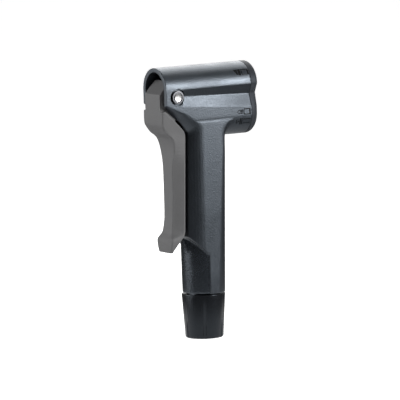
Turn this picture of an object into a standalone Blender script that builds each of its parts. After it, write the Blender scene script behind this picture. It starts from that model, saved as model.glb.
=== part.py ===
"""Twin-port tire inflator head with a clamping lever, in metres, +Z up.

The origin lies on the stem's axis, at the collar's lower face. +X points to the two valve
ports, the wide one above the slim one, and the lever hangs along the stem on the -X side.
"""
import math

import bmesh
import bpy
from mathutils import Vector

MM = 0.001

# Fits
CLEAR = 0.3 * MM             # gap between two pieces that touch or slide
SEAL_GAP = 0.15 * MM         # gap between a sealing ring and the wall that it seals
OVERLAP = 0.8 * MM           # how far two shapes of one piece run into each other
REACH = 1.0 * MM             # how far a cutter runs past the face that it opens

# Collar and hose connection
COLLAR_HEIGHT = 20.3 * MM
COLLAR_STEP = 0.2 * MM       # the collar's mouth stands out past the head's side by this
COLLAR_TAPER = 1.2 * MM      # from the collar's mouth in to its foot
COLLAR_EDGE = 1.0 * MM
COLLAR_LIP = 1.6 * MM
HOSE_HOLE_RADIUS = 5.35 * MM
FLUTES = 6
FLUTE_LENGTH = 9.6 * MM
FLUTE_DEPTH = 0.55 * MM
COLLAR_SEAM = 0.4 * MM
SPIGOT_LENGTH = 8.2 * MM
SPIGOT_RADIUS = 7.6 * MM
CLAMP_RADIUS = 6.6 * MM      # outside of the ferrule, the washer and the barb's flange
FERRULE_WALL = 1.1 * MM
FERRULE_SLIT = 1.2 * MM
WASHER_THICKNESS = 0.8 * MM
WASHER_HOLE_RADIUS = 4.3 * MM
FLANGE_THICKNESS = 1.3 * MM
BARB_RADIUS = 3.6 * MM
BARB_NECK_RADIUS = 2.9 * MM
BARB_PITCH = 1.7 * MM
BARBS = 3
BARB_BORE_RADIUS = 1.8 * MM
SHANK_RADIUS = 4.2 * MM
SHANK_LENGTH = 11.0 * MM
SHANK_RING_TUBE = 0.7 * MM

# Stem
STEM_LENGTH = 80.7 * MM      # from the stem's foot to the slim port's axis
STEM_FRONT_TOP = 8.9 * MM
STEM_SIDE_TAPER = 0.15 * MM  # the stem's sides lean in by this much at the foot
STEM_CORNER = 2.5 * MM
TONGUE_TAPER = 0.4 * MM      # the tongue leans in by this much at its foot
TONGUE_SIDE_STEP = 0.2 * MM  # the tongue's sides lie this far inside the flat panels
TONGUE_HEIGHT = 29.0 * MM
PANEL_REAR = 2.1 * MM        # the side panel's rear edge behind the axis, at the foot
CHANNEL_RADIUS = 2.5 * MM

# Head
HEAD_RADIUS = 9.8 * MM
PORT_PITCH = 13.5 * MM
SEAM_X = 22.6 * MM
ARCH_WALL = 2.0 * MM
ARCH_OVERHANG = 6.2 * MM     # from the pivot to the open end of the arch
GROOVE_DEPTH = 2.1 * MM
GROOVE_RUN_OUT = 3.6 * MM    # the groove ends this far in front of the pivot
LOBE_FILLET = 2.2 * MM
RIDGE_X = 3.3 * MM
RIDGE_BEND = 6.0 * MM
FLANK_BULGE = 0.45 * MM
FLANK_INSET = 3.4 * MM       # from the flat side in to the edge of the rear land
SLANT_HEIGHT = 18.3 * MM     # from the stem's foot to the slanted cut, at the panel's edge

# Lever, hinge and yoke
PIVOT_X = -16.8 * MM
PIVOT_DROP = 3.3 * MM        # the pivot below the wide port's axis
PIN_RADIUS = 2.0 * MM
PIN_HEAD_RADIUS = 3.2 * MM
PIN_HEAD_PROUD = 0.4 * MM
PIN_SEAT_DEPTH = 0.9 * MM
PIN_SEAT_ROOM = 0.7 * MM
DISH_RADIUS = 1.75 * MM
DISH_DEPTH = 0.5 * MM
BUSH_WALL = 0.6 * MM
CAM_BASE = 4.2 * MM          # pivot to the cam's face with the lever down
CAM_RISE = 3.0 * MM          # how far the lifted lever pushes the yoke
CAM_HALF = 6.3 * MM
LEVER_UNIT = 1.0 * MM        # the unit of the lever's outline, which scales the whole lever
LEVER_GAP = 1.3 * MM
LEVER_EDGE = 0.55 * MM
YOKE_THICKNESS = 3.0 * MM
YOKE_HALF = 5.9 * MM
YOKE_MARGIN = 1.9 * MM

# Pistons, poppets and seals
WIDE_BORE_RADIUS = 6.4 * MM
SLIM_BORE_RADIUS = 5.6 * MM
WIDE_MOUTH_RADIUS = 4.1 * MM
SLIM_MOUTH_RADIUS = 3.1 * MM
STUD_RADIUS = 1.5 * MM
NECK_RADIUS = 3.0 * MM
NECK_LENGTH = 2.2 * MM
PISTON_LENGTH = 14.8 * MM
PISTON_WAIST_DEPTH = 1.5 * MM
PISTON_HEAD = 3.0 * MM
RING_TUBE = 0.75 * MM
RING_SEAT = 1.8 * MM
POPPET_RADIUS = 2.2 * MM
POPPET_PIN_RADIUS = 1.2 * MM
POPPET_PIN_LENGTH = 2.4 * MM  # how far the pin stands out of the piston
POPPET_TRAVEL = 2.0 * MM
POPPET_HEAD = 3.5 * MM
SEAT_THICKNESS = 1.2 * MM
GUIDE_RADIUS = 0.9 * MM
SPRING_WIRE = 0.25 * MM
SPRING_LENGTH = 4.6 * MM
SPRING_TURNS = 4
PORT_RADIUS = 1.3 * MM
PORT_X = 1.2 * MM
GLAND_NOSE = 3.2 * MM
GLAND_LIP = 0.5 * MM
GLAND_CHAMFER = 0.6 * MM

# End cap
CAP_THICKNESS = 3.6 * MM
CAP_ROUND = 1.6 * MM
SCREW_Y = 5.6 * MM
SCREW_DROP = 5.7 * MM        # below the wide port's axis
SCREW_RADIUS = 0.75 * MM
SCREW_LENGTH = 9.0 * MM
SCREW_HEAD_RADIUS = 1.35 * MM
SCREW_HEAD_HEIGHT = 1.0 * MM
SCREW_SLOT = 0.5 * MM

# Levels and places that follow
STEM_FOOT = COLLAR_HEIGHT + COLLAR_SEAM
SPIGOT_FOOT = STEM_FOOT - SPIGOT_LENGTH
FLANGE_TOP = SPIGOT_FOOT - CLEAR
FLANGE_FOOT = FLANGE_TOP - FLANGE_THICKNESS
WASHER_FOOT = FLANGE_FOOT - CLEAR - WASHER_THICKNESS
SLIM_Z = STEM_FOOT + STEM_LENGTH
WIDE_Z = SLIM_Z + PORT_PITCH
LOBE_FOOT = SLIM_Z - HEAD_RADIUS
COLLAR_TOP_RADIUS = HEAD_RADIUS + COLLAR_STEP
COLLAR_FOOT_RADIUS = COLLAR_TOP_RADIUS - COLLAR_TAPER
STEM_FRONT_FOOT = COLLAR_TOP_RADIUS
STEM_SIDE_FOOT = HEAD_RADIUS - STEM_SIDE_TAPER
TONGUE_TOP_RADIUS = COLLAR_TOP_RADIUS
TONGUE_FOOT_RADIUS = TONGUE_TOP_RADIUS - TONGUE_TAPER
LAND_HALF = HEAD_RADIUS - FLANK_INSET
PIVOT_Z = WIDE_Z - PIVOT_DROP
ARCH_END = PIVOT_X - ARCH_OVERHANG
BAY_HALF = HEAD_RADIUS - ARCH_WALL
YOKE_REAR = PIVOT_X + CAM_BASE + CLEAR
YOKE_FRONT = YOKE_REAR + YOKE_THICKNESS
CHAMBER_FRONT = YOKE_FRONT + CAM_RISE + CLEAR
CHAMBER_HALF = CAM_HALF + CLEAR
YOKE_FOOT = SLIM_Z - STUD_RADIUS - CLEAR - YOKE_MARGIN / 1.5
YOKE_TOP = WIDE_Z + STUD_RADIUS + CLEAR + YOKE_MARGIN
NECK_REAR = YOKE_FRONT + CLEAR
PISTON_REAR = NECK_REAR + NECK_LENGTH
PISTON_FRONT = PISTON_REAR + PISTON_LENGTH
GLAND_REAR = PISTON_FRONT + 1.5 * CLEAR
CAP_REAR = SEAM_X + CLEAR
CAP_FACE = CAP_REAR + CAP_THICKNESS
SCREW_Z = WIDE_Z - SCREW_DROP

TURN_STEPS = 40
COLLAR_STEPS = 60
FINE_STEPS = 28

parts = None
cutters = None


# ---------------------------------------------------------------- helpers

def start_scene():
    """Empty the scene and add the two collections."""
    global parts, cutters
    for old in list(bpy.data.objects):
        bpy.data.objects.remove(old, do_unlink=True)
    parts = bpy.data.collections.new("tire_inflator")
    cutters = bpy.data.collections.new("cutters")
    bpy.context.scene.collection.children.link(parts)
    bpy.context.scene.collection.children.link(cutters)


def material(name, colour, roughness, metallic=0.0):
    """Return the named Principled material, making it on first use."""
    found = bpy.data.materials.get(name)
    if found:
        return found
    made = bpy.data.materials.new(name)
    made.use_nodes = True
    shader = made.node_tree.nodes["Principled BSDF"]
    shader.inputs["Base Color"].default_value = (*colour, 1.0)
    shader.inputs["Roughness"].default_value = roughness
    shader.inputs["Metallic"].default_value = metallic
    return made


def body_plastic():
    return material("charcoal_plastic", (0.060, 0.072, 0.086), 0.42)


def cap_plastic():
    return material("dark_cap_plastic", (0.030, 0.034, 0.040), 0.45)


def collar_plastic():
    return material("black_collar_plastic", (0.012, 0.013, 0.015), 0.50)


def lever_plastic():
    return material("matte_grey_plastic", (0.120, 0.120, 0.122), 0.60)


def piston_plastic():
    return material("white_acetal", (0.700, 0.700, 0.680), 0.40)


def yoke_plastic():
    return material("black_acetal", (0.020, 0.020, 0.022), 0.45)


def steel():
    return material("polished_steel", (0.620, 0.620, 0.640), 0.22, 1.0)


def brass():
    return material("brass", (0.640, 0.460, 0.200), 0.30, 1.0)


def rubber():
    return material("black_rubber", (0.015, 0.015, 0.016), 0.75)


def place(obj, collection):
    """Move an object to one collection."""
    for old in list(obj.users_collection):
        old.objects.unlink(obj)
    collection.objects.link(obj)
    return obj


def as_part(obj, name, finish):
    """Name an object as a sub-part, with its material and smooth shading."""
    place(obj, parts)
    obj.hide_render = False
    obj.display_type = "TEXTURED"
    obj.name = name
    obj.data.name = name
    obj.data.materials.clear()
    obj.data.materials.append(finish)
    obj.data.shade_smooth()
    obj.data.set_sharp_from_angle(angle=math.radians(32))
    return obj


def as_cutter(obj, name):
    """Keep an object only as a shape that cuts or joins another."""
    place(obj, cutters)
    obj.name = name
    obj.hide_render = True
    obj.display_type = "WIRE"
    return obj


def combine(obj, others, operation):
    for other in others:
        boolean = obj.modifiers.new(operation.lower() + "_" + other.name, "BOOLEAN")
        boolean.operation = operation
        boolean.solver = "EXACT"
        boolean.object = other


def cut(obj, *others):
    combine(obj, others, "DIFFERENCE")


def join(obj, *others):
    combine(obj, others, "UNION")


AXIS_TURN = {
    "X": (0.0, math.pi / 2, 0.0),
    "Y": (-math.pi / 2, 0.0, 0.0),
    "Z": (0.0, 0.0, 0.0),
}
AXIS_VECTOR = {"X": Vector((1, 0, 0)), "Y": Vector((0, 1, 0)), "Z": Vector((0, 0, 1))}


def rod(name, radius, start, end, axis="X", centre=(0.0, 0.0, 0.0), sides=FINE_STEPS):
    """A cylinder along an axis through a centre, from start to end on that axis."""
    middle = Vector(centre)
    middle += AXIS_VECTOR[axis] * ((start + end) / 2 - middle.dot(AXIS_VECTOR[axis]))
    bpy.ops.mesh.primitive_cylinder_add(vertices=sides, radius=radius, depth=abs(end - start),
                                        location=middle, rotation=AXIS_TURN[axis])
    return as_cutter(bpy.context.object, name)


def block(name, low, high):
    """A box between two corners."""
    size = [b - a for a, b in zip(low, high)]
    middle = [(a + b) / 2 for a, b in zip(low, high)]
    bpy.ops.mesh.primitive_cube_add(size=1.0, location=middle)
    made = bpy.context.object
    made.scale = size
    bpy.ops.object.transform_apply(location=False, rotation=False, scale=True)
    return as_cutter(made, name)


def turned(name, profile, axis="Z", centre=(0.0, 0.0, 0.0), steps=TURN_STEPS, closed=False):
    """A turned shape. The profile holds (radius, place along the axis) pairs."""
    loop = list(profile)
    area = sum(a[0] * b[1] - b[0] * a[1] for a, b in zip(loop, loop[1:] + loop[:1]))
    if area > 0:
        loop.reverse()
    mesh = bpy.data.meshes.new(name)
    edges = [(i, i + 1) for i in range(len(loop) - 1)]
    if closed:
        edges.append((len(loop) - 1, 0))
    mesh.from_pydata([(radius, 0.0, along) for radius, along in loop], edges, [])
    made = bpy.data.objects.new(name, mesh)
    cutters.objects.link(made)
    made.rotation_euler = AXIS_TURN[axis]
    made.location = centre
    screw = made.modifiers.new("turn", "SCREW")
    screw.axis = "Z"
    screw.angle = 2 * math.pi
    screw.steps = steps
    screw.render_steps = steps
    screw.use_merge_vertices = True
    screw.merge_threshold = 0.000001
    screw.use_smooth_shade = True
    return made


def ring(name, centre_radius, tube, axis, centre, sides=10, steps=FINE_STEPS):
    """A sealing ring."""
    bpy.ops.mesh.primitive_torus_add(major_radius=centre_radius, minor_radius=tube,
                                     major_segments=steps, minor_segments=sides,
                                     location=centre, rotation=AXIS_TURN[axis])
    return as_part(bpy.context.object, name, rubber())


def loft(name, loops):
    """A closed shape over loops of equal count, capped at both ends."""
    made = bmesh.new()
    rings = []
    for points in loops:
        verts = [made.verts.new(point) for point in points]
        edges = [made.edges.new((verts[i - 1], verts[i])) for i in range(len(verts))]
        rings.append((verts, edges))
    for (_, edges), (_, next_edges) in zip(rings, rings[1:]):
        bmesh.ops.bridge_loops(made, edges=edges + next_edges)
    bmesh.ops.triangulate(made, faces=made.faces)
    made.faces.new(rings[0][0])
    made.faces.new(rings[-1][0])
    bmesh.ops.recalc_face_normals(made, faces=made.faces)
    mesh = bpy.data.meshes.new(name)
    made.to_mesh(mesh)
    made.free()
    obj = bpy.data.objects.new(name, mesh)
    return as_cutter(obj, name)


def plate(name, outline, low, high):
    """A flat outline of (x, z) points, extruded from y = low to y = high."""
    curve = bpy.data.curves.new(name, "CURVE")
    curve.dimensions = "2D"
    curve.fill_mode = "BOTH"
    curve.extrude = (high - low) / 2
    spline = curve.splines.new("POLY")
    spline.points.add(len(outline) - 1)
    for point, (x, z) in zip(spline.points, outline):
        point.co = (x, z, 0.0, 1.0)
    spline.use_cyclic_u = True
    drawn = bpy.data.objects.new(name, curve)
    cutters.objects.link(drawn)
    drawn.rotation_euler = (math.pi / 2, 0.0, 0.0)
    drawn.location = (0.0, (low + high) / 2, 0.0)
    bpy.context.view_layer.update()
    mesh = bpy.data.meshes.new_from_object(drawn.evaluated_get(
        bpy.context.evaluated_depsgraph_get()))
    shape = bmesh.new()
    shape.from_mesh(mesh)
    bmesh.ops.remove_doubles(shape, verts=shape.verts, dist=0.000001)
    bmesh.ops.recalc_face_normals(shape, faces=shape.faces)
    shape.to_mesh(mesh)
    shape.free()
    obj = bpy.data.objects.new(name, mesh)
    obj.matrix_world = drawn.matrix_world
    bpy.data.objects.remove(drawn)
    return as_cutter(obj, name)


def mix(a, b, share):
    return a + (b - a) * share


def mix_point(a, b, share):
    return tuple(mix(p, q, share) for p, q in zip(a, b))


def arc(centre, radius, first, last, count):
    """Points on a circle between two angles in degrees, both ends included."""
    angles = [math.radians(mix(first, last, i / count)) for i in range(count + 1)]
    return [(centre[0] + radius * math.cos(a), centre[1] + radius * math.sin(a)) for a in angles]


def rounded_bend(before, bend, after, radius, count=6):
    """The arc that rounds one bend of a line, as count + 1 points."""
    corner = Vector(bend)
    to_start = (Vector(before) - corner).normalized()
    to_end = (Vector(after) - corner).normalized()
    half = to_start.angle(to_end) / 2
    middle = corner + (to_start + to_end).normalized() * radius / math.sin(half)
    start = corner + to_start * radius / math.tan(half)
    end = corner + to_end * radius / math.tan(half)
    points = []
    for i in range(count + 1):
        spoke = (start - middle).normalized().slerp((end - middle).normalized(), i / count)
        points.append(tuple(middle + spoke * radius))
    return points


# ---------------------------------------------------------------- head and stem

def lever_line():
    """The lever's inner face seen from the side, from the cam down to the tip."""
    x, z = PIVOT_X, PIVOT_Z
    top = (x - 7.7 * LEVER_UNIT, z - 4.1 * LEVER_UNIT)
    slope = (x - 1.7 * LEVER_UNIT, z - 9.8 * LEVER_UNIT)
    bend = (x + 5.85 * LEVER_UNIT, z - 16.9 * LEVER_UNIT)
    foot = (x + 4.4 * LEVER_UNIT, z - 61.6 * LEVER_UNIT)
    return top, slope, bend, foot


def land_line():
    """The stem's rear land, a gap away from the lever, with its bend rounded."""
    top, slope, bend, foot = [(x + LEVER_GAP, z) for x, z in lever_line()]
    far = mix_point(slope, top, 2.0)
    low = (foot[0] - 0.2 * MM, STEM_FOOT - 6 * REACH)
    return [far, top, slope, *rounded_bend(slope, bend, foot, RIDGE_BEND / 2), foot, low]


def ridge_line():
    """The sharp edge where the flat side ends and the rear flank starts."""
    top = (ARCH_END, SLIM_Z + 7.3 * MM)
    slope = (ARCH_END + 10.7 * MM, SLIM_Z + 2.2 * MM)
    bend = (-RIDGE_X, SLIM_Z - 3.0 * MM)
    foot = (-RIDGE_X + 0.4 * MM, STEM_FOOT + 33.0 * MM)
    far = mix_point(slope, top, 1.7)
    low = (-PANEL_REAR, STEM_FOOT - 6 * REACH)
    return [far, top, slope, *rounded_bend(slope, bend, foot, RIDGE_BEND), foot, low]


def flank_cutter():
    """What lies behind the two rear flanks and the land between them."""
    land = land_line()
    ridge = ridge_line()
    middle = [mix_point(a, b, 0.5) for a, b in zip(ridge, land)]
    middle_half = (HEAD_RADIUS + LAND_HALF) / 2 + FLANK_BULGE
    outside = HEAD_RADIUS + 2 * REACH
    back = ARCH_END - 8 * REACH
    loops = []
    for half, line in ((-outside, ridge), (-HEAD_RADIUS, ridge), (-middle_half, middle),
                       (-LAND_HALF, land), (LAND_HALF, land), (middle_half, middle),
                       (HEAD_RADIUS, ridge), (outside, ridge)):
        closing = [(back, line[-1][1]), (back, line[0][1])]
        loops.append([(x, half, z) for x, z in line + closing])
    return loft("flank_cutter", loops)


def slant_cutter():
    """The slanted end of the rear block, above the round tongue."""
    edge = (-PANEL_REAR, STEM_FOOT + SLANT_HEIGHT - 0.4 * MM)
    run = 18.0 * MM
    foot = STEM_FOOT - 6 * REACH
    outline = [edge, (edge[0] - run, edge[1] + run * 0.97), (edge[0] - run, foot),
               (edge[0], foot)]
    return plate("slant_cutter", outline, -HEAD_RADIUS - REACH, HEAD_RADIUS + REACH)


def barrel_section(x, groove, crease_z, lip_z, inset=0.0, steps=18):
    """The outline of the two lobes at one place along the barrel."""
    radius = HEAD_RADIUS - inset
    upper = arc((0.0, WIDE_Z), radius, 0, 180, steps)
    lower = arc((0.0, SLIM_Z), radius, 180, 360, steps)
    left = [(groove - radius, crease_z), (-radius, lip_z)]
    right = [(radius, lip_z), (radius - groove, crease_z)]
    return [(x, y, z) for y, z in upper + left + lower + right]


def barrel():
    crease = WIDE_Z - 4.4 * MM
    lip = SLIM_Z + 3.2 * MM
    start = PIVOT_X + GROOVE_RUN_OUT
    rise = 1.3 * MM
    loops = [barrel_section(ARCH_END, 0.0, crease + rise, lip + 2 * rise),
             barrel_section(start, 0.0, crease + rise, lip + 2 * rise),
             barrel_section(start + 1.4 * MM, GROOVE_DEPTH / 3, crease + rise, lip + 2 * rise),
             barrel_section(SEAM_X, GROOVE_DEPTH, crease, lip)]
    return loft("head_body", loops)


def front_half(height, corner_steps=6):
    """Half of the stem's front at one height, as (x, y) from the side to the middle."""
    share = (height - STEM_FOOT) / (LOBE_FOOT - STEM_FOOT)
    share = min(max(share, 0.0), 1.0)
    square = arc((STEM_FRONT_TOP - STEM_CORNER, HEAD_RADIUS - STEM_CORNER), STEM_CORNER,
                 90, 0, corner_steps)
    square.append((STEM_FRONT_TOP, 0.0))
    turns = [mix(75, 22, i / corner_steps) for i in range(corner_steps + 1)] + [0.0]
    half = []
    for angle, (x, y) in zip(turns, square):
        round_x = STEM_FRONT_FOOT * math.cos(math.radians(angle))
        round_y = STEM_FRONT_FOOT * math.sin(math.radians(angle))
        half.append((mix(round_x, x, share), mix(min(round_y, STEM_SIDE_FOOT), y, share)))
    return half


def stem_section(height, inset=0.0):
    half = [(x, max(y - inset, 0.0)) for x, y in front_half(height)]
    side = half[0][1]
    rear = PIVOT_X + 2 * CLEAR
    near = [(rear, -side)] + [(x, -y) for x, y in half]
    far = half[-2::-1] + [(rear, side)]
    return [(x, y, height) for x, y in near + far]


def stem():
    heights = [STEM_FOOT, mix(STEM_FOOT, LOBE_FOOT, 0.33), mix(STEM_FOOT, LOBE_FOOT, 0.67),
               LOBE_FOOT - LOBE_FILLET, SLIM_Z - HEAD_RADIUS / 6]
    loops = [stem_section(height) for height in heights]
    loops.append(stem_section(SLIM_Z + HEAD_RADIUS / 6, CLEAR))
    return loft("stem_shape", loops)


def tongue(sides=56):
    """The round rear of the stem's foot. Its front half hides inside the stem."""
    side = STEM_SIDE_FOOT - TONGUE_SIDE_STEP
    hidden = STEM_FRONT_TOP - STEM_CORNER
    loops = []
    for height, depth in ((CLEAR, TONGUE_FOOT_RADIUS), (TONGUE_HEIGHT, TONGUE_TOP_RADIUS)):
        loop = []
        for i in range(sides):
            turn = 2 * math.pi * i / sides
            reach = hidden if math.cos(turn) > 0 else depth
            loop.append((reach * math.cos(turn), side * math.sin(turn), STEM_FOOT + height))
        loops.append(loop)
    return loft("tongue_shape", loops)


def lobe_fillet(steps=13):
    """The fillet in the corner between the slim lobe and the stem's front."""
    spread = 56.0
    sunk = 0.1 * MM
    loops = []
    for i in range(steps + 1):
        turn = mix(-spread, spread, i / steps)
        radius = LOBE_FILLET * (1.0 - (turn / (spread + 4)) ** 2) + 0.1 * MM
        out = Vector((0.0, math.sin(math.radians(turn)), -math.cos(math.radians(turn))))
        lobe = HEAD_RADIUS - sunk
        reach = lobe + radius
        across = abs(reach * out.y)
        flat = HEAD_RADIUS - STEM_CORNER
        over = max(across - flat, 0.0)
        face = STEM_FRONT_TOP - STEM_CORNER + math.sqrt(STEM_CORNER ** 2 - over ** 2) - sunk
        profile = [(face - OVERLAP, lobe - OVERLAP), (face - OVERLAP, reach)]
        profile += arc((face + radius, reach), radius, 180, 270, 4)
        profile.append((face + radius, lobe - OVERLAP))
        loops.append([(x, out.y * r, SLIM_Z + out.z * r) for x, r in profile])
    return loft("lobe_fillet", loops)


def bay_cutter():
    """The open bay under the arch, where the lever's cam turns."""
    outline = arc((0.0, WIDE_Z), BAY_HALF, 0, 180, 20)
    foot = LOBE_FOOT - 8 * REACH
    outline += [(-BAY_HALF, foot), (BAY_HALF, foot)]
    rear = YOKE_REAR - CLEAR / 2
    loops = [[(x, y, z) for y, z in outline] for x in (ARCH_END - REACH, rear)]
    return loft("bay_cutter", loops)


def head_body():
    body = barrel()
    join(body, stem())
    cut(body, flank_cutter(), slant_cutter())
    join(body, tongue(), rod("spigot_shape", SPIGOT_RADIUS, SPIGOT_FOOT, STEM_FOOT + REACH, "Z",
                             sides=44), lobe_fillet())
    cut(body, bay_cutter(),
        block("yoke_chamber", (YOKE_REAR - 4 * CLEAR, -CHAMBER_HALF, YOKE_FOOT - CLEAR),
              (CHAMBER_FRONT, CHAMBER_HALF, YOKE_TOP + 2 * CLEAR)))
    for name, radius, height in (("wide_bore", WIDE_BORE_RADIUS, WIDE_Z),
                                 ("slim_bore", SLIM_BORE_RADIUS, SLIM_Z)):
        cut(body, rod(name, radius, YOKE_FRONT, SEAM_X + REACH, "X", (0, 0, height), 36))
    lower_wall = SLIM_Z - SLIM_BORE_RADIUS
    channel_top = lower_wall - 2.3 * MM
    cut(body, rod("channel", CHANNEL_RADIUS, SPIGOT_FOOT - REACH, channel_top, "Z", sides=20),
        rod("shank_hole", SHANK_RADIUS + CLEAR, SPIGOT_FOOT - REACH,
            FLANGE_TOP + SHANK_LENGTH + CLEAR, "Z"),
        rod("feed_port", PORT_RADIUS, channel_top - REACH, lower_wall + 1.5 * REACH, "Z",
            (PORT_X, 0, 0), 14),
        rod("web_port", PORT_RADIUS, SLIM_Z + SLIM_BORE_RADIUS - REACH,
            WIDE_Z - WIDE_BORE_RADIUS + REACH, "Z", (PORT_X, 0, 0), 14))
    hinge = (PIVOT_X, 0.0, PIVOT_Z)
    outside = HEAD_RADIUS + REACH
    seat = HEAD_RADIUS - PIN_SEAT_DEPTH
    cut(body, rod("pin_hole", PIN_RADIUS + CLEAR, -outside, outside, "Y", hinge),
        rod("near_pin_seat", PIN_HEAD_RADIUS + PIN_SEAT_ROOM, -outside, -seat, "Y", hinge, 36),
        rod("far_pin_seat", PIN_HEAD_RADIUS + PIN_SEAT_ROOM, seat, outside, "Y", hinge, 36))
    for side, name in ((-1, "left"), (1, "right")):
        place_of_screw = (0.0, side * SCREW_Y, SCREW_Z)
        cut(body, rod("screw_hole_" + name, SCREW_RADIUS + CLEAR, SEAM_X - SCREW_LENGTH,
                      SEAM_X + REACH, "X", place_of_screw, 14))
    return as_part(body, "head_body", body_plastic())


# ---------------------------------------------------------------- end cap

def end_cap():
    crease = WIDE_Z - 4.4 * MM
    lip = SLIM_Z + 3.2 * MM
    loops = [barrel_section(CAP_REAR, GROOVE_DEPTH, crease, lip)]
    for i in range(5):
        turn = math.radians(90 * i / 4)
        x = CAP_FACE - CAP_ROUND + CAP_ROUND * math.sin(turn)
        inset = CAP_ROUND * (1 - math.cos(turn))
        loops.append(barrel_section(x, GROOVE_DEPTH, crease, lip, inset))
    cap = loft("end_cap", loops)
    for name, mouth, height in (("wide_mouth", WIDE_MOUTH_RADIUS, WIDE_Z),
                                ("slim_mouth", SLIM_MOUTH_RADIUS, SLIM_Z)):
        cut(cap, rod(name, mouth + GLAND_LIP + CLEAR, CAP_REAR - REACH, CAP_FACE + REACH, "X",
                     (0, 0, height), 36))
    for side, name in ((-1, "left"), (1, "right")):
        spot = (0.0, side * SCREW_Y, SCREW_Z)
        cut(cap, rod("screw_way_" + name, SCREW_RADIUS + CLEAR, CAP_REAR - REACH,
                     CAP_FACE + REACH, "X", spot, 14),
            rod("screw_seat_" + name, SCREW_HEAD_RADIUS + CLEAR,
                CAP_FACE - SCREW_HEAD_HEIGHT - 2 * CLEAR, CAP_FACE + REACH, "X", spot, 18))
    return as_part(cap, "end_cap", cap_plastic())


def end_cap_screw(side, name):
    """A pan-head screw with a driver slot, its head sunk in the cap."""
    head = CAP_FACE - CLEAR
    neck = head - SCREW_HEAD_HEIGHT
    tip = SEAM_X - SCREW_LENGTH + 2 * CLEAR
    edge = SCREW_HEAD_HEIGHT / 4
    profile = [(0, tip), (SCREW_RADIUS / 3, tip), (SCREW_RADIUS, tip + SCREW_RADIUS),
               (SCREW_RADIUS, neck), (SCREW_HEAD_RADIUS, neck), (SCREW_HEAD_RADIUS, head - edge),
               (SCREW_HEAD_RADIUS - edge, head), (0, head)]
    screw = turned(name, profile, "X", (0, side * SCREW_Y, SCREW_Z), 16)
    slot = SCREW_SLOT / 2
    cut(screw, block(name + "_slot", (head - SCREW_HEAD_HEIGHT / 2, side * SCREW_Y - slot,
                                      SCREW_Z - 2 * SCREW_HEAD_RADIUS),
                     (head + REACH, side * SCREW_Y + slot, SCREW_Z + 2 * SCREW_HEAD_RADIUS)))
    return as_part(screw, name, steel())


# ---------------------------------------------------------------- inside the two bores

def gland(name, bore, mouth, height):
    """The rubber sleeve that grips a tire valve, with its nose in the end cap."""
    outer = bore - CLEAR
    nose = mouth + GLAND_LIP
    front = CAP_REAR + GLAND_NOSE
    shoulder = CAP_REAR - CLEAR
    chamfer = min(GLAND_CHAMFER, GLAND_LIP * 0.7)
    profile = [(mouth, GLAND_REAR), (outer, GLAND_REAR), (outer, shoulder), (nose, shoulder),
               (nose, front), (mouth + chamfer, front), (mouth, front - 1.5 * chamfer)]
    return as_part(turned(name, profile, "X", (0, 0, height), FINE_STEPS, closed=True), name,
                   rubber())


def piston(name, bore, height):
    """A piston with its stud, neck, ring groove, waist and the poppet's seat."""
    radius = bore - CLEAR
    seat = RING_SEAT / 2
    ring_x = PISTON_REAR + PISTON_HEAD - RING_TUBE / 2
    groove = bore - 2 * RING_TUBE - 2 * SEAL_GAP
    waist = radius - PISTON_WAIST_DEPTH
    waist_rear = ring_x + seat + 1.3 * MM
    waist_front = PISTON_FRONT - PISTON_HEAD
    bore_radius = POPPET_RADIUS + CLEAR
    seat_x = PISTON_FRONT - SEAT_THICKNESS
    bore_rear = seat_x - POPPET_HEAD - SPRING_LENGTH - 2 * CLEAR
    way = POPPET_PIN_RADIUS + CLEAR
    profile = [(0, YOKE_REAR + CLEAR), (STUD_RADIUS, YOKE_REAR + CLEAR), (STUD_RADIUS, NECK_REAR),
               (NECK_RADIUS, NECK_REAR), (NECK_RADIUS, PISTON_REAR), (radius, PISTON_REAR),
               (radius, ring_x - seat), (groove, ring_x - seat), (groove, ring_x + seat),
               (radius, ring_x + seat), (radius, waist_rear), (waist, waist_rear),
               (waist, waist_front), (radius, waist_front), (radius, PISTON_FRONT),
               (way, PISTON_FRONT), (way, seat_x), (bore_radius, seat_x),
               (bore_radius, bore_rear), (0, bore_rear)]
    made = turned(name, profile, "X", (0, 0, height), FINE_STEPS)
    cross = (waist_rear + waist_front) / 2
    cut(made, rod(name + "_cross_hole", PORT_RADIUS * 0.7, -bore, bore, "Y",
                  (cross, 0, height), 12))
    return as_part(made, name, piston_plastic())


def piston_ring(name, bore, height):
    ring_x = PISTON_REAR + PISTON_HEAD - RING_TUBE / 2
    return ring(name, bore - SEAL_GAP - RING_TUBE, RING_TUBE, "X", (ring_x, 0, height))


def poppet(name, height):
    """The pin that a tire valve pushes back to open the flow."""
    seat_x = PISTON_FRONT - SEAT_THICKNESS
    front = seat_x - CLEAR
    rear = front - POPPET_HEAD
    tip = PISTON_FRONT + POPPET_PIN_LENGTH
    guide = rear - SPRING_LENGTH + POPPET_TRAVEL + 2 * CLEAR
    round_tip = POPPET_PIN_RADIUS / 2
    profile = [(0, guide), (GUIDE_RADIUS, guide), (GUIDE_RADIUS, rear), (POPPET_RADIUS, rear),
               (POPPET_RADIUS, front), (POPPET_PIN_RADIUS, front),
               (POPPET_PIN_RADIUS, tip - round_tip), (round_tip, tip), (0, tip)]
    return as_part(turned(name, profile, "X", (0, 0, height), 20), name, brass())


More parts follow.
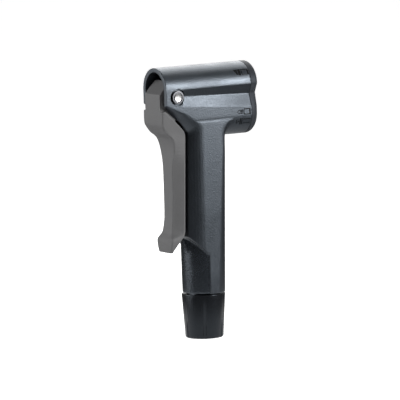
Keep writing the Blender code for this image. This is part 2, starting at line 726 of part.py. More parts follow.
def poppet_spring(name, height):
    """The coil behind a poppet, a helix of computed points."""
    rear = PISTON_FRONT - SEAT_THICKNESS - CLEAR - POPPET_HEAD
    front = rear - SPRING_WIRE - CLEAR / 2
    back = rear - SPRING_LENGTH + SPRING_WIRE
    radius = (POPPET_RADIUS + CLEAR + GUIDE_RADIUS) / 2
    per_turn = 10
    count = per_turn * SPRING_TURNS
    curve = bpy.data.curves.new(name, "CURVE")
    curve.dimensions = "3D"
    curve.bevel_depth = SPRING_WIRE
    curve.bevel_resolution = 1
    curve.use_fill_caps = True
    spline = curve.splines.new("POLY")
    spline.points.add(count)
    for i, point in enumerate(spline.points):
        angle = 2 * math.pi * i / per_turn
        point.co = (mix(back, front, i / count), radius * math.cos(angle),
                    height + radius * math.sin(angle), 1.0)
    made = bpy.data.objects.new(name, curve)
    parts.objects.link(made)
    curve.materials.append(steel())
    return made


def yoke():
    """The push plate between the cam and the two piston studs."""
    corner = 1.5 * MM
    outline = []
    for y, z, first in ((YOKE_HALF, YOKE_TOP, 0), (-YOKE_HALF, YOKE_TOP, 90),
                        (-YOKE_HALF, YOKE_FOOT, 180), (YOKE_HALF, YOKE_FOOT, 270)):
        centre = (y - math.copysign(corner, y), z - corner if z == YOKE_TOP else z + corner)
        outline += arc(centre, corner, first, first + 90, 4)
    loops = [[(x, y, z) for y, z in outline] for x in (YOKE_REAR, YOKE_FRONT)]
    made = loft("yoke", loops)
    for name, height in (("wide_stud_hole", WIDE_Z), ("slim_stud_hole", SLIM_Z)):
        cut(made, rod(name, STUD_RADIUS + CLEAR, YOKE_REAR - REACH, YOKE_FRONT + REACH, "X",
                      (0, 0, height), 20))
    return as_part(made, "yoke", yoke_plastic())


# ---------------------------------------------------------------- lever and hinge

def lever_section(outer, outer_half, inner, inner_half):
    """A soft trapezoid between the lever's outer and inner face, with broken edges."""
    edge = LEVER_EDGE
    outer = Vector((outer[0], 0.0, outer[1]))
    inner = Vector((inner[0], 0.0, inner[1]))
    inward = (inner - outer).normalized() * edge
    half = [(outer, outer_half - edge), (outer + inward, outer_half),
            (inner - inward, inner_half), (inner, inner_half - edge)]
    near = [(point.x, -y, point.z) for point, y in half]
    far = [(point.x, y, point.z) for point, y in reversed(half)]
    return near + far


def lever_arm():
    """The arm from the shoulder to the tip, over sections measured from the pivot."""
    rows = [  # outer x, z, half width, inner x, z, half width, in lever units
        (-7.5, -6.3, 8.3, -5.4, -6.3, 8.4),
        (-7.5, -11.7, 8.1, -1.7, -9.8, 8.4),
        (-6.9, -13.6, 7.8, 0.8, -12.1, 8.0),
        (-4.6, -16.4, 7.4, 4.2, -15.4, 7.3),
        (-2.0, -18.3, 7.3, 5.4, -17.2, 6.8),
        (-0.5, -20.5, 7.1, 5.75, -19.2, 6.5),
        (0.2, -24.6, 6.2, 5.6, -24.6, 6.4),
        (0.3, -29.6, 4.9, 5.45, -29.6, 6.4),
        (0.1, -34.2, 4.3, 5.3, -34.2, 6.4),
        (0.0, -45.0, 4.2, 4.95, -45.0, 6.4),
        (-0.2, -54.4, 3.9, 4.65, -54.4, 6.4),
        (-0.7, -59.0, 4.0, 4.5, -59.8, 6.4),
        (-1.5, -62.3, 4.7, 4.3, -62.0, 6.4),
        (-3.2, -65.1, 6.5, 3.4, -64.1, 6.5),
        (-3.3, -68.2, 6.3, 0.1, -67.9, 6.3),
        (-3.2, -71.3, 5.1, -2.2, -71.0, 5.6),
    ]
    loops = []
    for row in rows:
        ox, oz, outer_half, ix, iz, inner_half = [value * LEVER_UNIT for value in row]
        loops.append(lever_section((PIVOT_X + ox, PIVOT_Z + oz), outer_half,
                                   (PIVOT_X + ix, PIVOT_Z + iz), inner_half))
    return loft("lever_arm", loops)


def cam_outline(steps=10):
    """The cam seen from the side. Its rise is an even one, so a flat face follows it evenly."""
    rate = CAM_RISE / (math.pi / 2)
    curve = []
    for i in range(steps + 1):
        angle = (math.pi / 2) * i / steps
        lift = CAM_BASE + rate * angle
        curve.append((PIVOT_X + lift * math.cos(angle) - rate * math.sin(angle),
                      PIVOT_Z + lift * math.sin(angle) + rate * math.cos(angle)))
    body = [(-6.8, 1.6), (-6.8, -8.0), (-3.7, -12.1), (0.3, -11.0), (2.9, -8.1)]
    return [(PIVOT_X + CAM_BASE, PIVOT_Z - 2.8 * LEVER_UNIT), *curve,
            *[(PIVOT_X + x * LEVER_UNIT, PIVOT_Z + z * LEVER_UNIT) for x, z in body]]


def lever(hinge):
    made = lever_arm()
    hole = PIN_RADIUS + 2 * CLEAR + BUSH_WALL
    join(made, plate("cam_shape", cam_outline(), -CAM_HALF, CAM_HALF))
    cut(made, rod("bush_hole", hole, -HEAD_RADIUS, HEAD_RADIUS, "Y", (PIVOT_X, 0, PIVOT_Z)))
    return on_hinge(as_part(made, "lever", lever_plastic()), hinge)


def lever_bush(hinge):
    inner = PIN_RADIUS + CLEAR
    outer = inner + BUSH_WALL
    half = CAM_HALF + CLEAR
    profile = [(inner, -half), (outer, -half), (outer, half), (inner, half)]
    made = turned("lever_bush", profile, "Y", (PIVOT_X, 0, PIVOT_Z), FINE_STEPS, closed=True)
    return on_hinge(as_part(made, "lever_bush", brass()), hinge)


def on_hinge(obj, hinge):
    """Parent a piece to the empty on its joint, without moving the piece."""
    bpy.context.view_layer.update()
    obj.parent = hinge
    obj.matrix_parent_inverse = hinge.matrix_world.inverted()
    return obj


def pivot_pin():
    """The hinge pin, with its dished head in the near seat."""
    face = -HEAD_RADIUS - PIN_HEAD_PROUD
    seat = -HEAD_RADIUS + PIN_SEAT_DEPTH - CLEAR
    end = HEAD_RADIUS + PIN_HEAD_PROUD / 2
    edge = 0.25 * MM
    dish = [(DISH_RADIUS * math.cos(math.radians(a)), face + DISH_DEPTH * math.sin(math.radians(a)))
            for a in (90, 60, 30, 0)]
    profile = [*dish, (PIN_HEAD_RADIUS - edge, face), (PIN_HEAD_RADIUS, face + edge),
               (PIN_HEAD_RADIUS, seat), (PIN_RADIUS, seat), (PIN_RADIUS, end - edge),
               (PIN_RADIUS - edge, end), (0, end)]
    profile[0] = (0, profile[0][1])
    return as_part(turned("pivot_pin", profile, "Y", (PIVOT_X, 0, PIVOT_Z), 32), "pivot_pin",
                   steel())


def pin_retainer():
    """The push-on washer that holds the pin's far end."""
    seat = HEAD_RADIUS - PIN_SEAT_DEPTH + CLEAR
    face = HEAD_RADIUS + PIN_HEAD_PROUD
    hole = PIN_RADIUS + CLEAR
    edge = 0.3 * MM
    profile = [(hole, seat), (PIN_HEAD_RADIUS, seat), (PIN_HEAD_RADIUS, face - edge),
               (PIN_HEAD_RADIUS - edge, face), (hole + edge / 2, face), (hole, face - edge / 2)]
    made = turned("pin_retainer", profile, "Y", (PIVOT_X, 0, PIVOT_Z), 32, closed=True)
    return as_part(made, "pin_retainer", steel())


# ---------------------------------------------------------------- hose connection

def hose_barb():
    """The barbed tail for the hose, with its flange and the shank in the stem."""
    tail = FLANGE_FOOT - 0.3 * MM
    outline = [(BARB_NECK_RADIUS, FLANGE_FOOT), (BARB_NECK_RADIUS, tail)]
    for i in range(BARBS):
        top = tail - i * BARB_PITCH
        outline += [(BARB_RADIUS, top), (BARB_NECK_RADIUS, top - BARB_PITCH)]
    shank_top = FLANGE_TOP + SHANK_LENGTH
    ring_z = FLANGE_TOP + SHANK_LENGTH / 2
    seat = SHANK_RING_TUBE * 1.2
    groove = SHANK_RADIUS + CLEAR - 2 * SHANK_RING_TUBE - 2 * SEAL_GAP
    edge = 0.4 * MM
    profile = [*reversed(outline), (CLAMP_RADIUS, FLANGE_FOOT), (CLAMP_RADIUS, FLANGE_TOP),
               (SHANK_RADIUS, FLANGE_TOP), (SHANK_RADIUS, ring_z - seat), (groove, ring_z - seat),
               (groove, ring_z + seat), (SHANK_RADIUS, ring_z + seat),
               (SHANK_RADIUS, shank_top - edge), (SHANK_RADIUS - edge, shank_top),
               (BARB_BORE_RADIUS, shank_top), (BARB_BORE_RADIUS, outline[-1][1])]
    return as_part(turned("hose_barb", profile, steps=FINE_STEPS, closed=True), "hose_barb",
                   brass())


def hose_ferrule():
    """The split ring that closes on the hose when the collar is screwed up."""
    foot = COLLAR_LIP + CLEAR
    top = WASHER_FOOT - CLEAR
    inner = CLAMP_RADIUS - FERRULE_WALL
    edge = FERRULE_WALL / 3
    profile = [(inner, foot), (CLAMP_RADIUS - edge, foot), (CLAMP_RADIUS, foot + edge),
               (CLAMP_RADIUS, top - edge), (CLAMP_RADIUS - edge, top), (inner, top)]
    made = turned("hose_ferrule", profile, steps=FINE_STEPS, closed=True)
    slit = FERRULE_SLIT / 2
    cut(made, block("ferrule_slit", (0.0, -slit, foot - REACH),
                    (CLAMP_RADIUS + REACH, slit, top + REACH)))
    return as_part(made, "hose_ferrule", piston_plastic())


def slip_washer():
    foot = WASHER_FOOT
    top = WASHER_FOOT + WASHER_THICKNESS
    profile = [(WASHER_HOLE_RADIUS, foot), (CLAMP_RADIUS, foot), (CLAMP_RADIUS, top),
               (WASHER_HOLE_RADIUS, top)]
    return as_part(turned("slip_washer", profile, steps=FINE_STEPS, closed=True), "slip_washer",
                   steel())


def collar():
    """The tapered collar that clamps the hose, with short flutes at its foot."""
    inner = CLAMP_RADIUS + CLEAR
    step = SPIGOT_FOOT - CLEAR
    mouth = SPIGOT_RADIUS + CLEAR
    slope = (COLLAR_TOP_RADIUS - COLLAR_FOOT_RADIUS) / COLLAR_HEIGHT
    edge = arc((COLLAR_FOOT_RADIUS - COLLAR_EDGE, COLLAR_EDGE), COLLAR_EDGE, 270, 360, 4)
    rim = 0.3 * MM
    profile = [(HOSE_HOLE_RADIUS, 0.0), *edge, (COLLAR_TOP_RADIUS - slope * rim, COLLAR_HEIGHT - rim),
               (COLLAR_TOP_RADIUS - rim, COLLAR_HEIGHT), (mouth, COLLAR_HEIGHT), (mouth, step),
               (inner, step), (inner, COLLAR_LIP), (HOSE_HOLE_RADIUS, COLLAR_LIP)]
    made = turned("collar", profile, steps=COLLAR_STEPS, closed=True)
    made.rotation_euler.z = math.pi / COLLAR_STEPS
    lean = math.atan(slope) + math.radians(2.0)
    foot = -REACH
    middle = (FLUTE_LENGTH + foot) / 2
    radius = COLLAR_FOOT_RADIUS + slope * middle
    for i in range(FLUTES):
        angle = 2 * math.pi * i / FLUTES
        bpy.ops.mesh.primitive_cone_add(
            vertices=4, radius1=FLUTE_DEPTH * 1.5, radius2=FLUTE_DEPTH * 0.1,
            depth=FLUTE_LENGTH - foot, rotation=(0.0, lean, angle),
            location=(radius * math.cos(angle), radius * math.sin(angle), middle))
        cut(made, as_cutter(bpy.context.object, f"flute_{i + 1}"))
    return as_part(made, "collar", collar_plastic())


# ---------------------------------------------------------------- assembly

def build():
    start_scene()
    hinge = bpy.data.objects.new("lever_hinge", None)
    hinge.location = (PIVOT_X, 0.0, PIVOT_Z)
    parts.objects.link(hinge)
    head_body()
    end_cap()
    end_cap_screw(-1, "end_cap_screw_left")
    end_cap_screw(1, "end_cap_screw_right")
    for port, bore, mouth, height in (
            ("wide", WIDE_BORE_RADIUS, WIDE_MOUTH_RADIUS, WIDE_Z),
            ("slim", SLIM_BORE_RADIUS, SLIM_MOUTH_RADIUS, SLIM_Z)):
        gland(port + "_gland", bore, mouth, height)
        piston(port + "_piston", bore, height)
        piston_ring(port + "_piston_ring", bore, height)
        poppet(port + "_poppet", height)
        poppet_spring(port + "_poppet_spring", height)
    yoke()
    lever(hinge)
    lever_bush(hinge)
    pivot_pin()
    pin_retainer()
    hose_barb()
    ring("barb_ring", SHANK_RADIUS + CLEAR - SEAL_GAP - SHANK_RING_TUBE, SHANK_RING_TUBE, "Z",
         (0, 0, FLANGE_TOP + SHANK_LENGTH / 2))
    hose_ferrule()
    slip_washer()
    collar()


build()
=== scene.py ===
import math

import bmesh
import bpy
from mathutils import Matrix, Vector


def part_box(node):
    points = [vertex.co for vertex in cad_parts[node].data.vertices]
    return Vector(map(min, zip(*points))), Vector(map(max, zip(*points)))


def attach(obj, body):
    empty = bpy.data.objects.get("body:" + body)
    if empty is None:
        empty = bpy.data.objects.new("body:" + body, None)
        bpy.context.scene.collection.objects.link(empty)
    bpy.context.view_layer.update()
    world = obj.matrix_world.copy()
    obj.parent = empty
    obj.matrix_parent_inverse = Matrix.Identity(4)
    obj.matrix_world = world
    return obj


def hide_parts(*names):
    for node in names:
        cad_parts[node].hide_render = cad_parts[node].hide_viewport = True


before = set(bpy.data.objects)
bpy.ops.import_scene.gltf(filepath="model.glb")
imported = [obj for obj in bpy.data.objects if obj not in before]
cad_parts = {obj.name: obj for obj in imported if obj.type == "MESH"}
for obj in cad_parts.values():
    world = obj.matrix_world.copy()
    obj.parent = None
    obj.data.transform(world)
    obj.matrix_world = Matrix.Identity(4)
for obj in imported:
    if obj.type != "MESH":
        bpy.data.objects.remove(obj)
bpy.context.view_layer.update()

bl_info = {
    "name": "Portable Tire Inflator",
    "version": (1, 0, 0),
    "blender": (4, 5, 0),
    "location": "View3D > Sidebar > Inflator",
    "description": "Builds a two-port tire inflator head around its CAD frame",
    "category": "Add Mesh",
}

MM = 0.001
BLUE_SHEEN = (0.78, 0.88, 1.0)

# ---------------------------------------------------------------- sizes that follow the frame

HEAD_LOW, HEAD_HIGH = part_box("head_body")
CAP_LOW, CAP_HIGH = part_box("end_cap")
COLLAR_LOW, COLLAR_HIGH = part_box("collar")
LEVER_LOW, LEVER_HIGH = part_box("lever")
PIN_LOW, PIN_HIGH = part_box("pivot_pin")
CLIP_LOW, CLIP_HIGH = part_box("pin_retainer")
WIDE_GLAND_LOW, WIDE_GLAND_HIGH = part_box("wide_gland")
SLIM_GLAND_LOW, SLIM_GLAND_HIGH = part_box("slim_gland")

HEAD_RADIUS = 9.8 * MM
SLIM_Z = (SLIM_GLAND_LOW.z + SLIM_GLAND_HIGH.z) / 2
WIDE_Z = (WIDE_GLAND_LOW.z + WIDE_GLAND_HIGH.z) / 2
PIVOT_X = (PIN_LOW.x + PIN_HIGH.x) / 2
PIVOT_Z = (PIN_LOW.z + PIN_HIGH.z) / 2
ARCH_END = HEAD_LOW.x
SEAM_X = HEAD_HIGH.x
STEM_FOOT = COLLAR_HIGH.z + 0.4 * MM
LOBE_FOOT = SLIM_Z - HEAD_RADIUS
SPIGOT_FOOT = HEAD_LOW.z
GROOVE_DEPTH = 2.1 * MM
GROOVE_RISE = 1.3 * MM
GROOVE_RAMP = 0.6 * MM
CREASE_Z = WIDE_Z - 4.4 * MM
LIP_Z = SLIM_Z + 3.2 * MM
GROOVE_START = PIVOT_X + 1.9 * MM
STEM_FRONT_TOP = 8.9 * MM
STEM_FRONT_FOOT = 10.0 * MM
STEM_CORNER = 2.5 * MM
STEM_FLARE = 7.5 * MM
STEM_SIDE_FOOT = HEAD_RADIUS - 0.15 * MM
PANEL_REAR = 2.1 * MM
LAND_HALF = HEAD_RADIUS - 3.4 * MM
FLANK_BULGE = 0.8 * MM
LOBE_FILLET = 2.2 * MM
CORNER_REACH = 8.5 * MM
BAY_HALF = HEAD_RADIUS - 2.0 * MM
YOKE_LOW, YOKE_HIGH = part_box("yoke")
CLEAR = 0.3 * MM
REACH = 1.0 * MM
CAP_ROUND = 1.6 * MM
CAP_LOW_ROUND = 2.7 * MM
SEAM_GAP = 0.08 * MM
PIN_SEAT_RADIUS = 3.9 * MM
PIN_SEAT_DEPTH = 0.9 * MM
SCREW_Y = 5.6 * MM
SCREW_Z = WIDE_Z - 5.7 * MM

# The head, seen from the side: where the flat side ends and the rear land lies.
RIDGE = ((ARCH_END, SLIM_Z + 6.7 * MM), (ARCH_END + 10.7 * MM, SLIM_Z + 2.2 * MM),
         (-3.3 * MM, SLIM_Z - 3.0 * MM), (-2.9 * MM, STEM_FOOT + 33.0 * MM))
RIDGE_BEND = 6.0 * MM
LEVER_FACE = ((PIVOT_X - 7.7 * MM, PIVOT_Z - 4.1 * MM), (PIVOT_X - 1.7 * MM, PIVOT_Z - 9.8 * MM),
              (PIVOT_X + 5.85 * MM, PIVOT_Z - 16.9 * MM),
              (PIVOT_X + 4.4 * MM, PIVOT_Z - 61.6 * MM))
LEVER_GAP = 1.3 * MM

# The lever's sections from the shoulder to the tip, in millimetres from the pivot:
# outer x, z, half width, inner x, z, half width.
LEVER_ROWS = (
    (-7.5, -6.3, 8.3, -5.4, -6.3, 8.4),
    (-7.5, -11.7, 8.1, -1.7, -9.8, 8.4),
    (-6.9, -13.6, 7.8, 0.8, -12.1, 8.0),
    (-5.0, -16.4, 7.4, 4.2, -15.4, 7.3),
    (-2.6, -18.3, 7.3, 5.4, -17.2, 6.8),
    (-1.2, -20.5, 7.1, 5.75, -19.2, 6.5),
    (-0.5, -24.6, 6.2, 5.6, -24.6, 6.4),
    (-0.5, -29.6, 4.9, 5.45, -29.6, 6.4),
    (-0.6, -34.2, 4.3, 5.3, -34.2, 6.4),
    (-0.6, -45.0, 4.2, 4.95, -45.0, 6.4),
    (-0.9, -54.4, 3.9, 4.65, -54.4, 6.4),
    (-1.4, -59.0, 4.0, 4.5, -59.8, 6.4),
    (-1.9, -62.3, 4.7, 4.3, -62.0, 6.4),
    (-3.2, -65.1, 6.5, 3.4, -64.1, 6.5),
    (-3.3, -68.2, 6.3, 0.1, -67.9, 6.3),
    (-3.2, -71.3, 5.1, -2.2, -71.0, 5.6),
)

# The slanted end of the stem's rear block, and where the moulding below it is polished:
# behind x, below a line with this slope through this height, to a share of the roughness.
SLANT_TOP = STEM_FOOT + 17.9 * MM
SLANT_SLOPE = 0.97
TONGUE_SLEEK = (-PANEL_REAR - CLEAR / 2, SLANT_SLOPE, SLANT_TOP - SLANT_SLOPE * PANEL_REAR,
                0.62)

CAM_BASE = 4.2 * MM
CAM_RISE = 3.0 * MM
CAM_HALF = 6.3 * MM
BUSH_HOLE = 3.2 * MM

# Holes and seats inside the head and cap.
CHAMBER_HALF = 6.6 * MM
YOKE_THICK = 3.0 * MM
WIDE_BORE = 6.4 * MM
SLIM_BORE = 5.6 * MM
SPIGOT_RADIUS = 7.6 * MM
SHANK_HOLE = 4.5 * MM
SHANK_DEPTH = 11.0 * MM
CHANNEL_RADIUS = 2.5 * MM
CHANNEL_TOP = SLIM_Z - 7.9 * MM
PIN_HOLE = 2.3 * MM
SCREW_HOLE = 1.05 * MM
SCREW_HOLE_DEPTH = 9.0 * MM
SCREW_SEAT_RADIUS = 1.65 * MM
SCREW_SEAT_DEPTH = 1.6 * MM
WIDE_MOUTH = 4.9 * MM
SLIM_MOUTH = 3.9 * MM
MOUTH_BEVEL = 0.35 * MM

# Triangles left in the two large mouldings after thinning.
HEAD_FACES = 150000
LEVER_FACES = 90000

# The studio: the way to its white backdrop, and how bright the room shows in reflections.
BACKDROP_WAY = (0.53, 0.85, 0.0)
ROOM_LEVEL = 0.06


# ---------------------------------------------------------------- lines and outlines

def mix(a, b, share):
    return a + (b - a) * share


def mix_point(a, b, share):
    return tuple(mix(p, q, share) for p, q in zip(a, b))


def arc(centre, radius, start, end, steps):
    """Points on a circle from one angle to another, in degrees."""
    turns = [math.radians(mix(start, end, i / steps)) for i in range(steps + 1)]
    return [(centre[0] + radius * math.cos(t), centre[1] + radius * math.sin(t)) for t in turns]


def rounded_bend(before, bend, after, radius, steps):
    """The arc that rounds one bend of a line."""
    corner = Vector(bend)
    back = (Vector(before) - corner).normalized()
    ahead = (Vector(after) - corner).normalized()
    half = back.angle(ahead) / 2
    middle = corner + (back + ahead).normalized() * radius / math.sin(half)
    first = corner + back * radius / math.tan(half) - middle
    last = corner + ahead * radius / math.tan(half) - middle
    spokes = [first.normalized().slerp(last.normalized(), i / steps) for i in range(steps + 1)]
    return [tuple(middle + spoke * radius) for spoke in spokes]


def between(before, a, b, after, share):
    """A smooth value between a and b, on a curve through its two neighbours as well."""
    bend = 2 * before - 5 * a + 4 * b - after
    twist = 3 * (a - b) + after - before
    return a + 0.5 * share * (b - before + share * (bend + share * twist))


def smooth_rows(rows, steps):
    """A table of numbers with smooth rows put in between its own."""
    finer = []
    last = len(rows) - 1
    for i in range(last):
        near = [rows[max(i - 1, 0)], rows[i], rows[i + 1], rows[min(i + 2, last)]]
        for step in range(steps):
            finer.append([between(*values, step / steps) for values in zip(*near)])
    finer.append(list(rows[-1]))
    return finer


# ---------------------------------------------------------------- working as by hand

def leave_all():
    """Back to object mode, with nothing selected."""
    if bpy.context.object and bpy.context.object.mode != "OBJECT":
        bpy.ops.object.mode_set(mode="OBJECT")
    bpy.ops.object.select_all(action="DESELECT")


def take(obj):
    leave_all()
    obj.select_set(True)
    bpy.context.view_layer.objects.active = obj


def named(obj, name):
    obj.name = name
    obj.data.name = name
    return obj


def add_ring(name, points):
    """A circle added and drawn out to these points, left in edit mode and selected."""
    leave_all()
    bpy.ops.mesh.primitive_circle_add(vertices=len(points), radius=MM)
    obj = named(bpy.context.object, name)
    bpy.ops.object.mode_set(mode="EDIT")
    shape = bmesh.from_edit_mesh(obj.data)
    for vert, point in zip(shape.verts, points):
        vert.co = point
    bmesh.update_edit_mesh(obj.data)
    return obj


def face_outwards():
    bpy.ops.mesh.select_all(action="SELECT")
    bpy.ops.mesh.normals_make_consistent(inside=False)
    leave_all()


def loft(name, sections):
    """Extrude a ring from section to section, and fill both ends."""
    obj = add_ring(name, sections[0])
    spots = [vert.co.copy() for vert in bmesh.from_edit_mesh(obj.data).verts]
    for section in sections[1:]:
        bpy.ops.mesh.extrude_edges_move()
        shape = bmesh.from_edit_mesh(obj.data)
        order = {tuple(spot): i for i, spot in enumerate(spots)}
        for vert in [vert for vert in shape.verts if vert.select]:
            i = order[tuple(vert.co)]
            vert.co = section[i]
            spots[i] = vert.co.copy()
        bmesh.update_edit_mesh(obj.data)
    bpy.ops.mesh.select_all(action="DESELECT")
    bpy.ops.mesh.select_non_manifold()
    bpy.ops.mesh.fill_holes(sides=0)
    bpy.ops.mesh.select_all(action="SELECT")
    bpy.ops.mesh.quads_convert_to_tris()
    face_outwards()
    return obj


def plate(name, outline, low, high):
    """An outline of (x, z) points, extruded from y = low to y = high."""
    return loft(name, [[(x, y, z) for x, z in outline] for y in (low, high)])


AXES = {"X": (Vector((1, 0, 0)), Vector((0, 0, 1))),
        "Y": (Vector((0, 1, 0)), Vector((0, 0, 1))),
        "Z": (Vector((0, 0, 1)), Vector((1, 0, 0)))}


def spun(name, profile, axis, centre=(0.0, 0.0, 0.0), steps=96):
    """Spin a profile of (radius, place along the axis) points once round the axis.

    A profile whose two ends lie on the axis is open there, and any other is a closed loop."""
    along, out = AXES[axis]
    middle = Vector(centre) - along * along.dot(Vector(centre))
    points = [middle + out * radius + along * place for radius, place in profile]
    obj = add_ring(name, points)
    if profile[0][0] == 0 and profile[-1][0] == 0:
        shape = bmesh.from_edit_mesh(obj.data)
        shape.verts.ensure_lookup_table()
        ends = {shape.verts[0], shape.verts[len(points) - 1]}
        for edge in shape.edges:
            edge.select = set(edge.verts) == ends
        bmesh.update_edit_mesh(obj.data)
        bpy.ops.mesh.select_mode(type="EDGE")
        bpy.ops.mesh.delete(type="EDGE_FACE")
        bpy.ops.mesh.select_mode(type="VERT")
        bpy.ops.mesh.select_all(action="SELECT")
    bpy.ops.mesh.spin(steps=steps, angle=2 * math.pi, center=middle, axis=along)
    bpy.ops.mesh.select_all(action="SELECT")
    bpy.ops.mesh.remove_doubles(threshold=0.002 * MM)
    face_outwards()
    return obj


def rod(name, radius, start, end, axis="X", centre=(0.0, 0.0, 0.0), steps=72):
    return spun(name, [(0.0, start), (radius, start), (radius, end), (0.0, end)], axis, centre,
                steps)


def block(name, low, high):
    """A cube added and scaled between two corners."""
    leave_all()
    bpy.ops.mesh.primitive_cube_add(size=1.0)
    obj = named(bpy.context.object, name)
    middle = (Vector(low) + Vector(high)) / 2
    size = Vector(high) - Vector(low)
    for vert in obj.data.vertices:
        vert.co = [m + s * c for m, s, c in zip(middle, size, vert.co)]
    return obj


def modify(obj, kind, **settings):
    """Add a modifier, set it and apply it."""
    take(obj)
    bpy.ops.object.modifier_add(type=kind)
    modifier = obj.modifiers[-1]
    for name, value in settings.items():
        setattr(modifier, name, value)
    bpy.ops.object.modifier_apply(modifier=modifier.name)


def combine(obj, tools, operation):
    for tool in tools:
        modify(obj, "BOOLEAN", operation=operation, solver="EXACT", object=tool)
        bpy.data.objects.remove(tool, do_unlink=True)
        if not obj.data.polygons:
            raise RuntimeError(f"nothing is left of {obj.name}")
    return obj


def join(obj, *tools):
    return combine(obj, tools, "UNION")


def cut(obj, *tools):
    return combine(obj, tools, "DIFFERENCE")


def weigh(obj, name, weight):
    """A vertex group that weighs each vertex by a function of its place."""
    group = obj.vertex_groups.new(name=name)
    for vert in obj.data.vertices:
        share = weight(vert.co)
        if share > 0.0:
            group.add([vert.index], share, "REPLACE")


def soften(obj, grain, passes, faces, melt=None, melt_passes=160):
    """Round every edge as in a mould: a fine even mesh, smoothed, then thinned.

    Where the function melt is above 0, the shape flows together further."""
    modify(obj, "REMESH", mode="VOXEL", voxel_size=grain)
    modify(obj, "SMOOTH", factor=0.5, iterations=passes)
    if melt:
        weigh(obj, "melt", melt)
        modify(obj, "SMOOTH", factor=0.5, iterations=melt_passes, vertex_group="melt")
        obj.vertex_groups.clear()
    modify(obj, "TRIANGULATE")
    share = faces / len(obj.data.polygons)
    if share < 1:
        modify(obj, "DECIMATE", ratio=share)


def mark_edges(obj, soft=250.0, sharp=1200.0, passes=2):
    """Write how sharply the surface bends outwards at each vertex, for Edge Rub to read."""
    shape = bmesh.new()
    shape.from_mesh(obj.data)
    bend = []
    for vert in shape.verts:
        turns = [edge.calc_face_angle_signed(0.0) / max(edge.calc_length(), 0.02 * MM)
                 for edge in vert.link_edges]
        bend.append(sum(turns) / max(len(turns), 1) / 0.58)
    pairs = [(edge.verts[0].index, edge.verts[1].index) for edge in shape.edges]
    shape.free()
    for _ in range(passes):
        total, count = list(bend), [1] * len(bend)
        for a, b in pairs:
            total[a] += bend[b]
            total[b] += bend[a]
            count[a] += 1
            count[b] += 1
        bend = [value / number for value, number in zip(total, count)]
    layer = obj.data.attributes.new("edge", "FLOAT", "POINT")
    share = [min(max((value - soft) / (sharp - soft), 0.0), 1.0) for value in bend]
    layer.data.foreach_set("value", share)


def shade(obj, angle=32):
    take(obj)
    bpy.ops.object.shade_smooth_by_angle(angle=math.radians(angle))


def finished(obj, body, slot, *replaced):
    """Smooth the piece, give it its body, and let it stand for its CAD nodes. The slot is not
    used.
    """
    mark_edges(obj)
    shade(obj)
    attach(obj, body)
    if replaced:
        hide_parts(*replaced)
    leave_all()
    return obj


# ---------------------------------------------------------------- shape of the head

def land_line(steps=12):
    """The stem's rear land, a gap away from the lever, as (x, z) points."""
    top, slope, bend, foot = [(x + LEVER_GAP, z) for x, z in LEVER_FACE]
    low = (foot[0] - 0.2 * MM, STEM_FOOT - 6 * REACH)
    return [mix_point(slope, top, 2.0), top, slope,
            *rounded_bend(slope, bend, foot, RIDGE_BEND / 2, steps), foot, low]


def ridge_line(steps=12):
    """The edge where the flat side ends and the rear flank starts."""
    top, slope, bend, foot = RIDGE
    low = (-PANEL_REAR, STEM_FOOT - 6 * REACH)
    return [mix_point(slope, top, 1.7), top, slope,
            *rounded_bend(slope, bend, foot, RIDGE_BEND, steps), foot, low]


def flank_tool(steps=6):
    """What lies behind the two bulging rear flanks and the land between them."""
    land = land_line()
    ridge = ridge_line()
    outside = HEAD_RADIUS + 2 * REACH
    back = ARCH_END - 8 * REACH
    rows = [(outside, ridge)]
    for i in range(steps + 1):
        share = i / steps
        bulge = 4 * FLANK_BULGE * share * (1 - share)
        rows.append((mix(HEAD_RADIUS, LAND_HALF, share) + bulge,
                     [mix_point(a, b, share) for a, b in zip(ridge, land)]))
    sections = []
    for half, line in [(-half, line) for half, line in rows] + rows[::-1]:
        closing = [(back, line[-1][1]), (back, line[0][1])]
        sections.append([(x, half, z) for x, z in line + closing])
    return loft("flank_tool", sections)


def slant_tool():
    """The slanted end of the rear block, above the round tongue."""
    top = SLANT_TOP
    foot = STEM_FOOT - 6 * REACH
    run = 18.0 * MM
    outline = [(-PANEL_REAR, top), (-PANEL_REAR - run, top + run * SLANT_SLOPE),
               (-PANEL_REAR - run, foot), (-PANEL_REAR, foot)]
    return plate("slant_tool", outline, -HEAD_RADIUS - REACH, HEAD_RADIUS + REACH)


def barrel_section(x, groove, crease_z, lip_z, inset=0.0, low_inset=0.0, steps=48):
    """The outline of the two lobes at one place along the barrel."""
    radius, low_radius = HEAD_RADIUS - inset, HEAD_RADIUS - low_inset
    upper = arc((0.0, WIDE_Z), radius, 0, 180, steps)
    lower = arc((0.0, SLIM_Z), low_radius, 180, 360, steps)
    left = [(groove - radius, crease_z), (-low_radius, lip_z)]
    right = [(low_radius, lip_z), (radius - groove, crease_z)]
    return [(x, y, z) for y, z in upper + left + lower + right]


def barrel(steps=12):
    """The two lobes. The groove between them starts at the pin and deepens towards the cap."""
    high, low = CREASE_Z + GROOVE_RISE, LIP_Z + 2 * GROOVE_RISE
    sections = [barrel_section(x, 0.0, high, low) for x in (ARCH_END, GROOVE_START)]
    for i in range(steps + 1):
        share = i / steps
        sections.append(barrel_section(
            mix(GROOVE_START + GROOVE_RAMP, SEAM_X, share), GROOVE_DEPTH * mix(0.4, 1.0, share),
            mix(high, CREASE_Z, share), mix(low, LIP_Z, share)))
    return loft("head_shell", sections)


